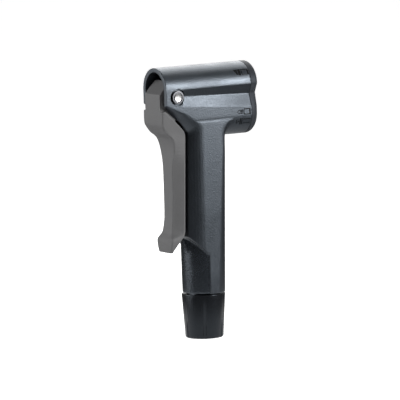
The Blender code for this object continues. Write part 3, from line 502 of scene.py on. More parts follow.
def stem_section(height, inset=0.0, flare=0.0, corner_steps=12):
    """The stem's outline at one height: round in front at the foot, square at the top."""
    share = min(max((height - STEM_FOOT) / (LOBE_FOOT - STEM_FOOT), 0.0), 1.0)
    square = arc((STEM_FRONT_TOP - STEM_CORNER, HEAD_RADIUS - STEM_CORNER), STEM_CORNER, 90, 0,
                 corner_steps)
    square.append((STEM_FRONT_TOP, 0.0))
    turns = [mix(75, 22, i / corner_steps) for i in range(corner_steps + 1)] + [0.0]
    half = []
    square = [(x + flare, y) for x, y in square]
    for turn, (x, y) in zip(turns, square):
        round_x = STEM_FRONT_FOOT * math.cos(math.radians(turn))
        round_y = min(STEM_FRONT_FOOT * math.sin(math.radians(turn)), STEM_SIDE_FOOT)
        half.append((mix(round_x, x, share), max(mix(round_y, y, share) - inset, 0.0)))
    rear = PIVOT_X + 2 * CLEAR
    side = half[0][1]
    near = [(rear, -side)] + [(x, -y) for x, y in half]
    far = half[-2::-1] + [(rear, side)]
    return [(x, y, height) for x, y in near + far]


def stem(flare_steps=10):
    """The stem. Beside the slim lobe its front sweeps out in an arc towards the ports."""
    heights = [mix(STEM_FOOT, LOBE_FOOT, i / 8) for i in range(8)]
    sections = [stem_section(height) for height in heights + [LOBE_FOOT - LOBE_FILLET]]
    for i in range(flare_steps + 1):
        turn = math.radians(mix(0.0, 72.0, i / flare_steps))
        sections.append(stem_section(LOBE_FOOT + CLEAR / 2 + STEM_FLARE * math.sin(turn), 0.0,
                                     STEM_FLARE * (1 - math.cos(turn))))
    top = sections[-1][0][2]
    return loft("stem_tool", sections + [
        stem_section(mix(top, SLIM_Z, 0.6), CLEAR / 2, STEM_FLARE * 0.9)])


def tongue(sides=144):
    """The round rear of the stem's foot. Its front half hides inside the stem."""
    side = STEM_SIDE_FOOT - 0.2 * MM
    sections = []
    for height, depth in ((CLEAR, 9.6 * MM), (29.0 * MM, 10.0 * MM)):
        section = []
        for i in range(sides):
            turn = 2 * math.pi * i / sides
            reach = STEM_FRONT_TOP - STEM_CORNER if math.cos(turn) > 0 else depth
            section.append((reach * math.cos(turn), side * math.sin(turn), STEM_FOOT + height))
        sections.append(section)
    return loft("tongue_tool", sections)


def lobe_fillet(steps=28):
    """The fillet in the corner between the slim lobe and the stem's front."""
    spread = 56.0
    sunk = 0.1 * MM
    sections = []
    for i in range(steps + 1):
        turn = mix(-spread, spread, i / steps)
        radius = LOBE_FILLET * (1.0 - (turn / (spread + 4)) ** 2) + 0.1 * MM
        across = math.sin(math.radians(turn))
        down = -math.cos(math.radians(turn))
        lobe = HEAD_RADIUS - sunk
        reach = lobe + radius
        over = max(abs(reach * across) - (HEAD_RADIUS - STEM_CORNER), 0.0)
        face = STEM_FRONT_TOP - STEM_CORNER + math.sqrt(STEM_CORNER ** 2 - over ** 2) - sunk
        inside = 0.8 * MM
        profile = [(face - inside, lobe - inside), (face - inside, reach),
                   *arc((face + radius, reach), radius, 180, 270, 10),
                   (face + radius, lobe - inside)]
        sections.append([(x, across * r, SLIM_Z + down * r) for x, r in profile])
    return loft("fillet_tool", sections)


def corner_melt(place):
    """How far the shape flows together at a place near the corner of stem and lobe."""
    away = math.hypot(place.x - STEM_FRONT_TOP, place.z - (SLIM_Z - 0.85 * HEAD_RADIUS))
    share = min(max((CORNER_REACH - away) / (CORNER_REACH * 0.7), 0.0), 1.0)
    return share * share * (3 - 2 * share)


def bay_tool():
    """The open bay under the arch for the lever's cam, drawn in to a throat below the pin."""
    throat = CAM_HALF + CLEAR
    knee = PIVOT_Z - 5.0 * MM
    foot = LOBE_FOOT - 8 * REACH
    half = [(BAY_HALF, knee), (throat, knee - (BAY_HALF - throat)), (throat, foot)]
    outline = arc((0.0, WIDE_Z), BAY_HALF, 0, 180, 48)
    outline += [(-y, z) for y, z in half] + half[::-1]
    rear = YOKE_LOW.x - CLEAR / 2
    return loft("bay_tool", [[(x, y, z) for y, z in outline] for x in (ARCH_END - REACH, rear)])


# ---------------------------------------------------------------- valve marks

def bar(low_u, low_v, high_u, high_v):
    return [(low_u, low_v), (high_u, low_v), (high_u, high_v), (low_u, high_v)]


def frame_of(low_u, low_v, high_u, high_v, line=0.42, thick=0.8):
    """An outlined rectangle whose right end is thick, as four bars that don't touch."""
    gap = 0.02
    return [bar(low_u, high_v - line, high_u, high_v), bar(low_u, low_v, high_u, low_v + line),
            bar(low_u, low_v + line + gap, low_u + line, high_v - line - gap),
            bar(high_u - thick, low_v + line + gap, high_u, high_v - line - gap)]


# Generic signs for the two kinds of valve: a place along the barrel, an angle up from the
# side, the lobe's height, and the shapes in millimetres.
VALVE_MARKS = (
    (19.0 * MM, 34.0, WIDE_Z,
     [[(-4.5, 1.5), (-4.2, 0.3), (-3.1, -1.3), (-2.6, -1.6), (-2.6, 1.4)],
      bar(-2.4, -1.6, -1.0, 1.5), *frame_of(-0.6, -1.4, 3.2, 1.4)]),
    (18.8 * MM, 6.0, SLIM_Z,
     [[(-3.9, 0.02), (-2.7, 0.65), (-2.7, 1.15), (-4.5, 0.1)],
      [(-4.5, -0.02), (-2.7, -1.07), (-2.7, -0.57), (-3.9, -0.04)],
      bar(-2.4, -1.0, -1.7, 1.0), bar(-1.4, -1.0, -0.9, 1.0), *frame_of(-0.6, -1.4, 3.1, 1.4)]),
    (18.6 * MM, -20.0, SLIM_Z,
     [[(-4.5, -0.9), (-4.0, -1.0), (-3.5, 0.0), (-4.0, 1.0), (-4.5, 0.9), (-4.0, 0.0)],
      bar(-3.2, -0.35, -2.6, 0.35), bar(-2.4, -1.6, -1.8, 1.6), bar(-1.5, -1.6, -1.0, 1.6),
      bar(-0.7, 0.8, 3.2, 1.25), bar(-0.7, -1.25, 3.2, -0.8)]),
)


def mark_plate(name, shape, spot, low, high):
    """One flat shape wrapped round its lobe, between two depths from the side."""
    along, turn, height = spot
    sections = []
    for radius in (low, high):
        section = []
        for u, v in shape:
            angle = math.radians(turn) + v * MM / HEAD_RADIUS
            section.append((along + u * MM, -radius * math.cos(angle),
                            height + radius * math.sin(angle)))
        sections.append(section)
    return loft(name, sections)


def valve_marks(name, low, high):
    """All the marks as one mesh, from one radius to another."""
    plates = [mark_plate(name, shape, (along, turn, height), low, high)
              for along, turn, height, shapes in VALVE_MARKS for shape in shapes]
    take(plates[0])
    for piece in plates:
        piece.select_set(True)
    bpy.ops.object.join()
    leave_all()
    return plates[0]


# ---------------------------------------------------------------- shared effects

FLOAT = "NodeSocketFloat"
COLOUR = "NodeSocketColor"


def new_group(name, inputs, outputs):
    """A shader node group with named sockets, and its input and output nodes."""
    group = bpy.data.node_groups.new(name, "ShaderNodeTree")
    for label, kind, value in inputs:
        socket = group.interface.new_socket(name=label, in_out="INPUT", socket_type=kind)
        socket.default_value = value
    for label, kind in outputs:
        group.interface.new_socket(name=label, in_out="OUTPUT", socket_type=kind)
    return group, group.nodes.new("NodeGroupInput"), group.nodes.new("NodeGroupOutput")


def add_node(tree, kind, links=(), **settings):
    """Add a node, set what is named, and link or fill its inputs."""
    node = tree.nodes.new("ShaderNode" + kind)
    for name, value in settings.items():
        setattr(node, name, value)
    for socket, source in dict(links).items():
        if isinstance(source, bpy.types.NodeSocket):
            tree.links.new(source, node.inputs[socket])
        else:
            node.inputs[socket].default_value = source
    return node


def maths(tree, operation, a, b=0.0, c=0.0, clamp=False):
    return add_node(tree, "Math", {0: a, 1: b, 2: c}, operation=operation,
                    use_clamp=clamp).outputs[0]


def blend_colours(tree, share, a, b, blend_type="MIX"):
    node = add_node(tree, "Mix", {0: share, 6: a, 7: b}, data_type="RGBA", blend_type=blend_type)
    return node.outputs[2]


def noise(tree, place, scale, detail, **inputs):
    """The value of a noise texture, with a capital letter for each further input."""
    return add_node(tree, "TexNoise", {"Vector": place, "Scale": scale, "Detail": detail,
                                       **inputs}).outputs["Fac"]


def as_rgba(colour):
    return (*colour, 1.0)


def grey(value):
    return (value, value, value, 1.0)


def moulded_grain():
    """The fine spark-eroded texture of a moulding, as colour, roughness and height."""
    group, given, result = new_group(
        "Moulded Grain",
        (("Colour", COLOUR, grey(0.1)), ("Specks", FLOAT, 0.1), ("Grain Size", FLOAT, 0.0004),
         ("Roughness", FLOAT, 0.5), ("Roughness Range", FLOAT, 0.08)),
        (("Colour", COLOUR), ("Roughness", FLOAT), ("Height", FLOAT)))
    place = add_node(group, "TexCoord").outputs["Object"]
    scale = maths(group, "DIVIDE", 1.0, given.outputs["Grain Size"])
    fine = noise(group, place, scale, 3.0, Roughness=0.6)
    pits = add_node(group, "TexVoronoi", {"Vector": place, "Scale": scale},
                    feature="SMOOTH_F1").outputs["Distance"]
    broad = noise(group, place, maths(group, "MULTIPLY", scale, 0.03), 4.0)
    height = maths(group, "MULTIPLY_ADD", pits, 0.6, maths(group, "MULTIPLY", fine, 0.7))
    swing = maths(group, "SUBTRACT", fine, 0.5)
    lift = maths(group, "MULTIPLY_ADD", swing, given.outputs["Specks"], 1.0)
    bright = add_node(group, "CombineColor", {0: lift, 1: lift, 2: lift}).outputs[0]
    tint = blend_colours(group, 1.0, given.outputs["Colour"], bright, "MULTIPLY")
    wander = maths(group, "ADD", swing, maths(group, "SUBTRACT", broad, 0.5))
    rough = maths(group, "MULTIPLY_ADD", wander, given.outputs["Roughness Range"],
                  given.outputs["Roughness"], clamp=True)
    group.links.new(tint, result.inputs["Colour"])
    group.links.new(rough, result.inputs["Roughness"])
    group.links.new(height, result.inputs["Height"])
    return group


def edge_rub():
    """Where edges are rubbed lighter, from the edge attribute that mark_edges leaves."""
    group, given, result = new_group(
        "Edge Rub", (("Amount", FLOAT, 0.5), ("Breakup", FLOAT, 900.0)), (("Mask", FLOAT),))
    edge = add_node(group, "Attribute", attribute_name="edge").outputs["Fac"]
    place = add_node(group, "TexCoord").outputs["Object"]
    patch = noise(group, place, given.outputs["Breakup"], 4.0)
    patch = maths(group, "MULTIPLY_ADD", patch, 1.6, -0.3, clamp=True)
    mask = maths(group, "MULTIPLY", maths(group, "MULTIPLY", edge, patch),
                 given.outputs["Amount"], clamp=True)
    group.links.new(mask, result.inputs["Mask"])
    return group


def handling():
    """Faint smudges and fine dust from use, as two masks."""
    group, given, result = new_group(
        "Handling", (("Size", FLOAT, 0.012), ("Dust", FLOAT, 0.2)),
        (("Smudge", FLOAT), ("Dust", FLOAT)))
    place = add_node(group, "TexCoord").outputs["Object"]
    scale = maths(group, "DIVIDE", 1.0, given.outputs["Size"])
    smudge = noise(group, place, scale, 5.0, Distortion=0.6)
    smudge = add_node(group, "MapRange", {"Value": smudge, "From Min": 0.42, "From Max": 0.68},
                      clamp=True).outputs["Result"]
    flecks = noise(group, place, maths(group, "MULTIPLY", scale, 60.0), 2.0)
    flecks = add_node(group, "MapRange", {"Value": flecks, "From Min": 0.66, "From Max": 0.78},
                      clamp=True).outputs["Result"]
    up = add_node(group, "SeparateXYZ",
                  {0: add_node(group, "NewGeometry").outputs["Normal"]}).outputs["Z"]
    lie = maths(group, "MULTIPLY_ADD", up, 0.5, 0.5, clamp=True)
    dust = maths(group, "MULTIPLY", maths(group, "MULTIPLY", flecks, lie), given.outputs["Dust"])
    group.links.new(smudge, result.inputs["Smudge"])
    group.links.new(dust, result.inputs["Dust"])
    return group


def turned_marks():
    """Fine rings left by a lathe, from the distances across its axis and along it."""
    group, given, result = new_group(
        "Turned Marks",
        (("Across", FLOAT, 0.0), ("Along", FLOAT, 0.0), ("Pitch", FLOAT, 0.0002),
         ("Roughness", FLOAT, 0.25), ("Roughness Range", FLOAT, 0.1)),
        (("Roughness", FLOAT), ("Height", FLOAT), ("Tone", FLOAT)))
    spot = add_node(group, "CombineXYZ", {0: given.outputs["Across"], 1: given.outputs["Along"]})
    scale = maths(group, "DIVIDE", 1.0, given.outputs["Pitch"])
    rings = noise(group, spot.outputs[0], scale, 3.0, Roughness=0.7)
    swing = maths(group, "SUBTRACT", rings, 0.5)
    rough = maths(group, "MULTIPLY_ADD", swing, given.outputs["Roughness Range"],
                  given.outputs["Roughness"], clamp=True)
    group.links.new(rough, result.inputs["Roughness"])
    group.links.new(rings, result.inputs["Height"])
    group.links.new(maths(group, "MULTIPLY_ADD", swing, 0.3, 1.0), result.inputs["Tone"])
    return group


GROUPS = {}


def build_groups():
    GROUPS.update(grain=moulded_grain(), edge=edge_rub(), handling=handling(),
                  turned=turned_marks())


def add_group(tree, key, **values):
    """Place a shared effect in a material with this material's own values."""
    node = tree.nodes.new("ShaderNodeGroup")
    node.node_tree = GROUPS[key]
    for label, value in values.items():
        socket = node.inputs[label.replace("_", " ")]
        if isinstance(value, bpy.types.NodeSocket):
            tree.links.new(value, socket)
        else:
            socket.default_value = value
    return node


# ---------------------------------------------------------------- materials

def new_material(name):
    """An empty material, its tree, and its Principled shader."""
    made = bpy.data.materials.new(name)
    made.use_nodes = True
    return made, made.node_tree, made.node_tree.nodes["Principled BSDF"]


def set_shader(shader, **values):
    for label, value in values.items():
        shader.inputs[label.replace("_", " ")].default_value = value


def feed(tree, shader, colour, roughness, height, depth):
    tree.links.new(colour, shader.inputs["Base Color"])
    tree.links.new(roughness, shader.inputs["Roughness"])
    bump = add_node(tree, "Bump", {"Height": height, "Distance": depth, "Strength": 1.0})
    tree.links.new(bump.outputs["Normal"], shader.inputs["Normal"])


def moulded_plastic(name, colour, roughness, grain=0.35, depth=0.02, specks=0.2, sparkle=0.08,
                    rub=0.3, rub_lift=1.8, gloss=0.5, sheen_tint=(1.0, 1.0, 1.0), dust=0.1,
                    sleek=None):
    """A moulded plastic: grained, a little rubbed at its edges, with faint smudges and dust.

    Behind and below the slanted line of sleek, the mould was polished smoother."""
    made, tree, shader = new_material(name)
    surface = add_group(tree, "grain", Colour=as_rgba(colour), Specks=specks,
                        Grain_Size=grain * MM, Roughness=roughness, Roughness_Range=sparkle)
    worn = add_group(tree, "edge", Amount=rub).outputs["Mask"]
    touched = add_group(tree, "handling", Dust=dust)
    lighter = as_rgba([min(value * rub_lift + 0.01, 1.0) for value in colour])
    tint = blend_colours(tree, worn, surface.outputs["Colour"], lighter)
    tint = blend_colours(tree, touched.outputs["Dust"], tint, grey(0.35))
    smooth = maths(tree, "MULTIPLY", touched.outputs["Smudge"], 0.05)
    rough = maths(tree, "SUBTRACT", surface.outputs["Roughness"], smooth)
    rough = maths(tree, "MULTIPLY_ADD", worn, -0.08, rough, clamp=True)
    if sleek:
        limit_x, slope, top, share = sleek
        place = add_node(tree, "TexCoord").outputs["Object"]
        split = add_node(tree, "SeparateXYZ", {0: place}).outputs
        level = maths(tree, "MULTIPLY_ADD", split["X"], slope, split["Z"])
        inside = maths(tree, "MULTIPLY", maths(tree, "LESS_THAN", split["X"], limit_x),
                       maths(tree, "LESS_THAN", level, top))
        rough = maths(tree, "MULTIPLY", rough, maths(tree, "MULTIPLY_ADD", inside, share - 1, 1.0))
    feed(tree, shader, tint, rough, surface.outputs["Height"], depth * MM)
    set_shader(shader, Specular_IOR_Level=gloss, Specular_Tint=as_rgba(sheen_tint))
    return made


def soft_rubber(name, colour, roughness=0.62):
    made, tree, shader = new_material(name)
    surface = add_group(tree, "grain", Colour=as_rgba(colour), Specks=0.35, Grain_Size=0.0002,
                        Roughness=roughness, Roughness_Range=0.1)
    touched = add_group(tree, "handling", Size=0.003, Dust=0.35)
    tint = blend_colours(tree, touched.outputs["Dust"], surface.outputs["Colour"], grey(0.25))
    bloom = maths(tree, "MULTIPLY", touched.outputs["Smudge"], 0.25)
    tint = blend_colours(tree, bloom, tint, grey(0.07))
    feed(tree, shader, tint, surface.outputs["Roughness"], surface.outputs["Height"], 0.008 * MM)
    set_shader(shader, Specular_IOR_Level=0.35)
    return made


def turned_metal(name, colour, roughness, axis="X", centre=(0.0, 0.0, 0.0), tarnish=0.2,
                 tarnish_colour=(0.25, 0.2, 0.15), depth=0.0012, pitch=0.00012, polished=0.0):
    """A metal turned on a lathe round an axis, with fine rings and a little tarnish.

    Inside the polished radius it is brighter and smoother."""
    made, tree, shader = new_material(name)
    place = add_node(tree, "TexCoord").outputs["Object"]
    local = add_node(tree, "Mapping", {"Vector": place, "Location": [-c for c in centre]})
    split = add_node(tree, "SeparateXYZ", {0: local.outputs[0]}).outputs
    along = split[axis]
    others = [split[letter] for letter in "XYZ" if letter != axis]
    across = maths(tree, "SQRT", maths(tree, "ADD", maths(tree, "MULTIPLY", others[0], others[0]),
                                       maths(tree, "MULTIPLY", others[1], others[1])))
    marks = add_group(tree, "turned", Across=across, Along=along, Pitch=pitch,
                      Roughness=roughness, Roughness_Range=0.25)
    touched = add_group(tree, "handling", Size=0.002, Dust=0.1)
    tone = add_node(tree, "CombineColor", {i: marks.outputs["Tone"] for i in range(3)}).outputs[0]
    tint = blend_colours(tree, 1.0, as_rgba(colour), tone, "MULTIPLY")
    dull = maths(tree, "MULTIPLY", touched.outputs["Smudge"], tarnish)
    tint = blend_colours(tree, dull, tint, as_rgba(tarnish_colour))
    rough = maths(tree, "MULTIPLY_ADD", dull, 0.5, marks.outputs["Roughness"], clamp=True)
    if polished:
        inside = maths(tree, "LESS_THAN", across, polished)
        rough = maths(tree, "MULTIPLY", rough, maths(tree, "MULTIPLY_ADD", inside, -0.5, 1.0))
        tint = blend_colours(tree, inside, tint, grey(0.85))
    feed(tree, shader, tint, rough, marks.outputs["Height"], depth * MM)
    set_shader(shader, Metallic=1.0)
    return made


def give(obj, material):
    """Leave the object with one material only."""
    obj.data.materials.clear()
    obj.data.materials.append(material)


# ---------------------------------------------------------------- sizes and colours to change

class InflatorMouldings(bpy.types.PropertyGroup):
    """Sizes and colours of the moulded pieces."""
    grain: bpy.props.FloatProperty(
        name="Mesh Grain", description="Cell size of the even mesh that rounds the edges",
        default=0.25 * MM, min=0.15 * MM, max=0.6 * MM, unit="LENGTH", precision=5)
    edge_passes: bpy.props.IntProperty(
        name="Edge Rounding", description="Smoothing passes over the moulded edges",
        default=4, min=0, max=20)
    mark_depth: bpy.props.FloatProperty(
        name="Mark Depth", description="How deep the valve marks are sunk in the side",
        default=0.2 * MM, min=0.05 * MM, max=0.5 * MM, unit="LENGTH", precision=5)
    body_colour: bpy.props.FloatVectorProperty(
        name="Body", description="Colour of the head and stem", subtype="COLOR", size=3,
        min=0.0, max=1.0, default=(0.006, 0.0075, 0.0095))
    cap_colour: bpy.props.FloatVectorProperty(
        name="End Cap", description="Colour of the end cap", subtype="COLOR", size=3,
        min=0.0, max=1.0, default=(0.025, 0.027, 0.031))
    lever_colour: bpy.props.FloatVectorProperty(
        name="Lever", description="Colour of the lever", subtype="COLOR", size=3,
        min=0.0, max=1.0, default=(0.096, 0.096, 0.098))
    collar_colour: bpy.props.FloatVectorProperty(
        name="Collar", description="Colour of the hose collar", subtype="COLOR", size=3,
        min=0.0, max=1.0, default=(0.004, 0.0045, 0.0055))
    mark_colour: bpy.props.FloatVectorProperty(
        name="Marks", description="Colour of the ink in the valve marks", subtype="COLOR",
        size=3, min=0.0, max=1.0, default=(0.004, 0.0045, 0.005))


class InflatorCollar(bpy.types.PropertyGroup):
    """Sizes of the collar's grip."""
    flute_depth: bpy.props.FloatProperty(
        name="Flute Depth", description="How deep each flute is at the collar's foot",
        default=0.55 * MM, min=0.1 * MM, max=0.9 * MM, unit="LENGTH", precision=5)
    flute_length: bpy.props.FloatProperty(
        name="Flute Length", description="How far each flute runs up from the foot",
        default=9.6 * MM, min=2.0 * MM, max=15.0 * MM, unit="LENGTH", precision=5)


class InflatorStage(bpy.types.PropertyGroup):
    """The camera, the lamps and the floor."""
    azimuth: bpy.props.FloatProperty(
        name="Azimuth", description="Angle of the camera round the object, from its side",
        default=math.radians(-32.0), subtype="ANGLE", unit="ROTATION")
    elevation: bpy.props.FloatProperty(
        name="Elevation", description="Angle of the camera above the floor",
        default=math.radians(7.0), subtype="ANGLE", unit="ROTATION")
    roll: bpy.props.FloatProperty(
        name="Roll", description="Tilt of the picture round the camera's own axis",
        default=math.radians(-1.6), subtype="ANGLE", unit="ROTATION")
    distance: bpy.props.FloatProperty(
        name="Distance", description="From the camera to the point that it looks at",
        default=2.525, min=0.3, unit="LENGTH")
    width: bpy.props.FloatProperty(
        name="Width Seen", description="Width of the picture at the object",
        default=0.1818, min=0.02, unit="LENGTH")
    key_power: bpy.props.FloatProperty(
        name="Key Lamp", description="Power of the lamp beside the camera, on its right",
        default=2.0, min=0.0, subtype="POWER", unit="POWER")
    side_power: bpy.props.FloatProperty(
        name="Side Lamp", description="Power of the lamp on the lever's side", default=2.4,
        min=0.0, subtype="POWER", unit="POWER")
    back_power: bpy.props.FloatProperty(
        name="Back Lamp", description="Power of the wide soft lamp above and behind",
        default=3.6, min=0.0, subtype="POWER", unit="POWER")
    floor_colour: bpy.props.FloatVectorProperty(
        name="Floor", description="Colour of the floor", subtype="COLOR", size=3, min=0.0,
        max=1.0, default=(0.82, 0.82, 0.82))


# ---------------------------------------------------------------- one operator for each piece

class InflatorHeadOperator(bpy.types.Operator):
    """Build the moulded head and stem, with its bay, bores and seats cut in"""
    bl_idname = "inflator.add_head"
    bl_label = "Head and Stem"

    def execute(self, context):
        look = context.scene.inflator_mouldings
        head = join(barrel(), stem())
        cut(head, flank_tool(), slant_tool())
        join(head, tongue(), lobe_fillet())
        cut(head, bay_tool())
        soften(head, look.grain, look.edge_passes, HEAD_FACES, corner_melt)
        join(head, rod("spigot_tool", SPIGOT_RADIUS, SPIGOT_FOOT, STEM_FOOT + REACH, "Z"))
        yoke_front = YOKE_LOW.x + YOKE_THICK
        hinge = (PIVOT_X, 0.0, PIVOT_Z)
        outside = HEAD_RADIUS + REACH
        seat = HEAD_RADIUS - PIN_SEAT_DEPTH
        tools = [
            block("chamber_tool", (YOKE_LOW.x - 4 * CLEAR, -CHAMBER_HALF, YOKE_LOW.z - CLEAR),
                  (yoke_front + CAM_RISE + CLEAR, CHAMBER_HALF, YOKE_HIGH.z + 2 * CLEAR)),
            rod("wide_bore", WIDE_BORE, yoke_front, SEAM_X + REACH, "X", (0, 0, WIDE_Z)),
            rod("slim_bore", SLIM_BORE, yoke_front, SEAM_X + REACH, "X", (0, 0, SLIM_Z)),
            rod("shank_tool", SHANK_HOLE, SPIGOT_FOOT - REACH, SPIGOT_FOOT + SHANK_DEPTH, "Z"),
            rod("channel_tool", CHANNEL_RADIUS, SPIGOT_FOOT, CHANNEL_TOP, "Z"),
            rod("pin_hole", PIN_HOLE, -outside, outside, "Y", hinge),
        ]
        for end, face in ((-outside, -seat), (seat, outside)):
            tools.append(rod("pin_seat", PIN_SEAT_RADIUS, end, face, "Y", hinge, 96))
        for side in (-1, 1):
            tools.append(rod("screw_hole", SCREW_HOLE, SEAM_X - SCREW_HOLE_DEPTH,
                             SEAM_X + REACH, "X", (0, side * SCREW_Y, SCREW_Z), 32))
        cut(head, *tools)
        floor = HEAD_RADIUS - look.mark_depth
        cut(head, valve_marks("mark_tool", floor, outside))
        ink = valve_marks("valve_mark_ink", floor - 0.1 * MM, floor + 0.05 * MM)
        give(ink, moulded_plastic("mark_ink", look.mark_colour, 0.6, gloss=0.15, rub=0.0))
        finished(ink, "head", "cap_plastic")
        give(head, moulded_plastic("body_plastic", look.body_colour, 0.42, grain=0.55, depth=0.08,
                                   specks=0.45, sparkle=0.3, rub=0.4, rub_lift=2.5, gloss=1.0,
                                   sheen_tint=BLUE_SHEEN, sleek=TONGUE_SLEEK))
        finished(head, "head", "body_plastic", "head_body")
        return {"FINISHED"}


class InflatorCapOperator(bpy.types.Operator):
    """Build the rounded end cap with its two ports and screw seats"""
    bl_idname = "inflator.add_cap"
    bl_label = "End Cap"

    def execute(self, context):
        look = context.scene.inflator_mouldings
        sections = [barrel_section(SEAM_X + SEAM_GAP, GROOVE_DEPTH, CREASE_Z, LIP_Z)]
        for i in range(17):
            turn = math.radians(90 * i / 16)
            back = CAP_LOW_ROUND * (1 - math.sin(turn))
            start = max(CAP_ROUND - back, 0.0)
            inset = CAP_ROUND - math.sqrt(CAP_ROUND ** 2 - start ** 2)
            low_inset = CAP_LOW_ROUND * (1 - math.cos(turn))
            sections.append(barrel_section(CAP_HIGH.x - back, GROOVE_DEPTH, CREASE_Z, LIP_Z,
                                           inset, low_inset))
        cap = loft("end_cap_shell", sections)
        bevel = MOUTH_BEVEL
        for radius, height in ((WIDE_MOUTH, WIDE_Z), (SLIM_MOUTH, SLIM_Z)):
            profile = [(0.0, CAP_LOW.x - REACH), (radius, CAP_LOW.x - REACH),
                       (radius, CAP_HIGH.x - bevel), (radius + bevel, CAP_HIGH.x),
                       (radius + bevel, CAP_HIGH.x + REACH), (0.0, CAP_HIGH.x + REACH)]
            cut(cap, spun("mouth_tool", profile, "X", (0, 0, height), 128))
        for side in (-1, 1):
            spot = (0.0, side * SCREW_Y, SCREW_Z)
            cut(cap, rod("screw_way", SCREW_HOLE, CAP_LOW.x - REACH, CAP_HIGH.x + REACH, "X",
                         spot, 32),
                rod("screw_seat", SCREW_SEAT_RADIUS, CAP_HIGH.x - SCREW_SEAT_DEPTH,
                    CAP_HIGH.x + REACH, "X", spot, 48))
        give(cap, moulded_plastic("cap_plastic", look.cap_colour, 0.5, specks=0.12, rub=0.15,
                                  gloss=0.12, sheen_tint=BLUE_SHEEN))
        finished(cap, "head", "cap_plastic", "end_cap")
        return {"FINISHED"}


def lever_sections():
    """Soft trapezoids along the lever, with a rounded edge at each corner."""
    sections = []
    for row in smooth_rows(LEVER_ROWS, 4):
        ox, oz, outer_half, ix, iz, inner_half = [value * MM for value in row]
        outer = Vector((PIVOT_X + ox, PIVOT_Z + oz))
        inner = Vector((PIVOT_X + ix, PIVOT_Z + iz))
        inward = (inner - outer).normalized()
        depth = (inner - outer).length
        edge = min(0.75 * MM, depth * 0.35)
        half = []
        for across, along in arc((outer_half - edge, edge), edge, 270, 360, 6):
            half.append((across, outer + inward * along))
        for across, along in arc((inner_half - edge, depth - edge), edge, 0, 90, 6):
            half.append((across, outer + inward * along))
        near = [(spot.x, -across, spot.y) for across, spot in half]
        far = [(spot.x, across, spot.y) for across, spot in reversed(half)]
        sections.append(near + far)
    return sections


def cam_outline(steps=24):
    """The cam seen from the side, rising evenly, so that the yoke's flat face follows it."""
    rate = CAM_RISE / (math.pi / 2)
    curve = []
    for i in range(steps + 1):
        angle = (math.pi / 2) * i / steps
        lift = CAM_BASE + rate * angle
        curve.append((PIVOT_X + lift * math.cos(angle) - rate * math.sin(angle),
                      PIVOT_Z + lift * math.sin(angle) + rate * math.cos(angle)))
    back = [(-7.5, 1.3), (-7.5, -8.0), (-3.7, -12.1), (0.3, -11.0), (2.9, -8.1)]
    return [(PIVOT_X + CAM_BASE, PIVOT_Z - 2.8 * MM), *curve,
            *[(PIVOT_X + x * MM, PIVOT_Z + z * MM) for x, z in back]]


class InflatorLeverOperator(bpy.types.Operator):
    """Build the clamp lever with its cam and the hole for the hinge bush"""
    bl_idname = "inflator.add_lever"
    bl_label = "Lever"

    def execute(self, context):
        look = context.scene.inflator_mouldings
        lever = loft("lever_handle", lever_sections())
        join(lever, plate("cam_tool", cam_outline(), -CAM_HALF, CAM_HALF))
        soften(lever, look.grain * 0.9, look.edge_passes, LEVER_FACES)
        cut(lever, rod("bush_tool", BUSH_HOLE, -HEAD_RADIUS, HEAD_RADIUS, "Y",
                       (PIVOT_X, 0, PIVOT_Z)))
        give(lever, moulded_plastic("lever_plastic", look.lever_colour, 0.6, grain=0.45,
                                    specks=0.15, gloss=0.3))
        finished(lever, "lever_arm", "lever_plastic", "lever")
        return {"FINISHED"}


class InflatorCollarOperator(bpy.types.Operator):
    """Build the tapered collar that clamps the hose, with its six flutes"""
    bl_idname = "inflator.add_collar"
    bl_label = "Collar"

    def execute(self, context):
        look = context.scene.inflator_mouldings
        sizes = context.scene.inflator_collar
        top, foot, height = 10.0 * MM, 8.8 * MM, COLLAR_HIGH.z
        slope = (top - foot) / height
        rim = 0.35 * MM
        edge = 1.0 * MM
        hose_hole, hose_bevel, floor_thick = 5.35 * MM, 0.3 * MM, 1.6 * MM
        spigot_hole, thread_hole, shoulder = 7.9 * MM, 6.9 * MM, SPIGOT_FOOT - CLEAR
        profile = [(hose_hole, hose_bevel), (hose_hole + hose_bevel, 0.0),
                   *arc((foot - edge, edge), edge, 270, 360, 10),
                   *arc((top - slope * rim - rim, height - rim), rim, 0, 90, 5),
                   (spigot_hole, height), (spigot_hole, shoulder), (thread_hole, shoulder),
                   (thread_hole, floor_thick), (hose_hole, floor_thick)]
        collar = spun("base_collar", profile, "Z", steps=192)
        lean = math.atan(slope)
        for i in range(6):
            turn = 2 * math.pi * i / 6
            length = sizes.flute_length + REACH
            flute = [(0.0, -REACH), (sizes.flute_depth * 2.0, -REACH),
                     (sizes.flute_depth * 1.6, length * 0.55),
                     (sizes.flute_depth * 0.7, length - 1.4 * MM),
                     (0.0, length - REACH)]
            tool = spun("flute_tool", flute, "Z", steps=32)
            reach = foot + sizes.flute_depth * 0.75
            tool.data.transform(Matrix.Rotation(turn, 4, "Z") @ Matrix.Translation((reach, 0, 0))
                                @ Matrix.Rotation(lean, 4, "Y"))
            cut(collar, tool)
        give(collar, moulded_plastic("collar_plastic", look.collar_colour, 0.26, specks=0.1,
                                     rub_lift=1.3, gloss=0.4, sheen_tint=BLUE_SHEEN))
        finished(collar, "head", "collar_plastic", "collar")
        return {"FINISHED"}


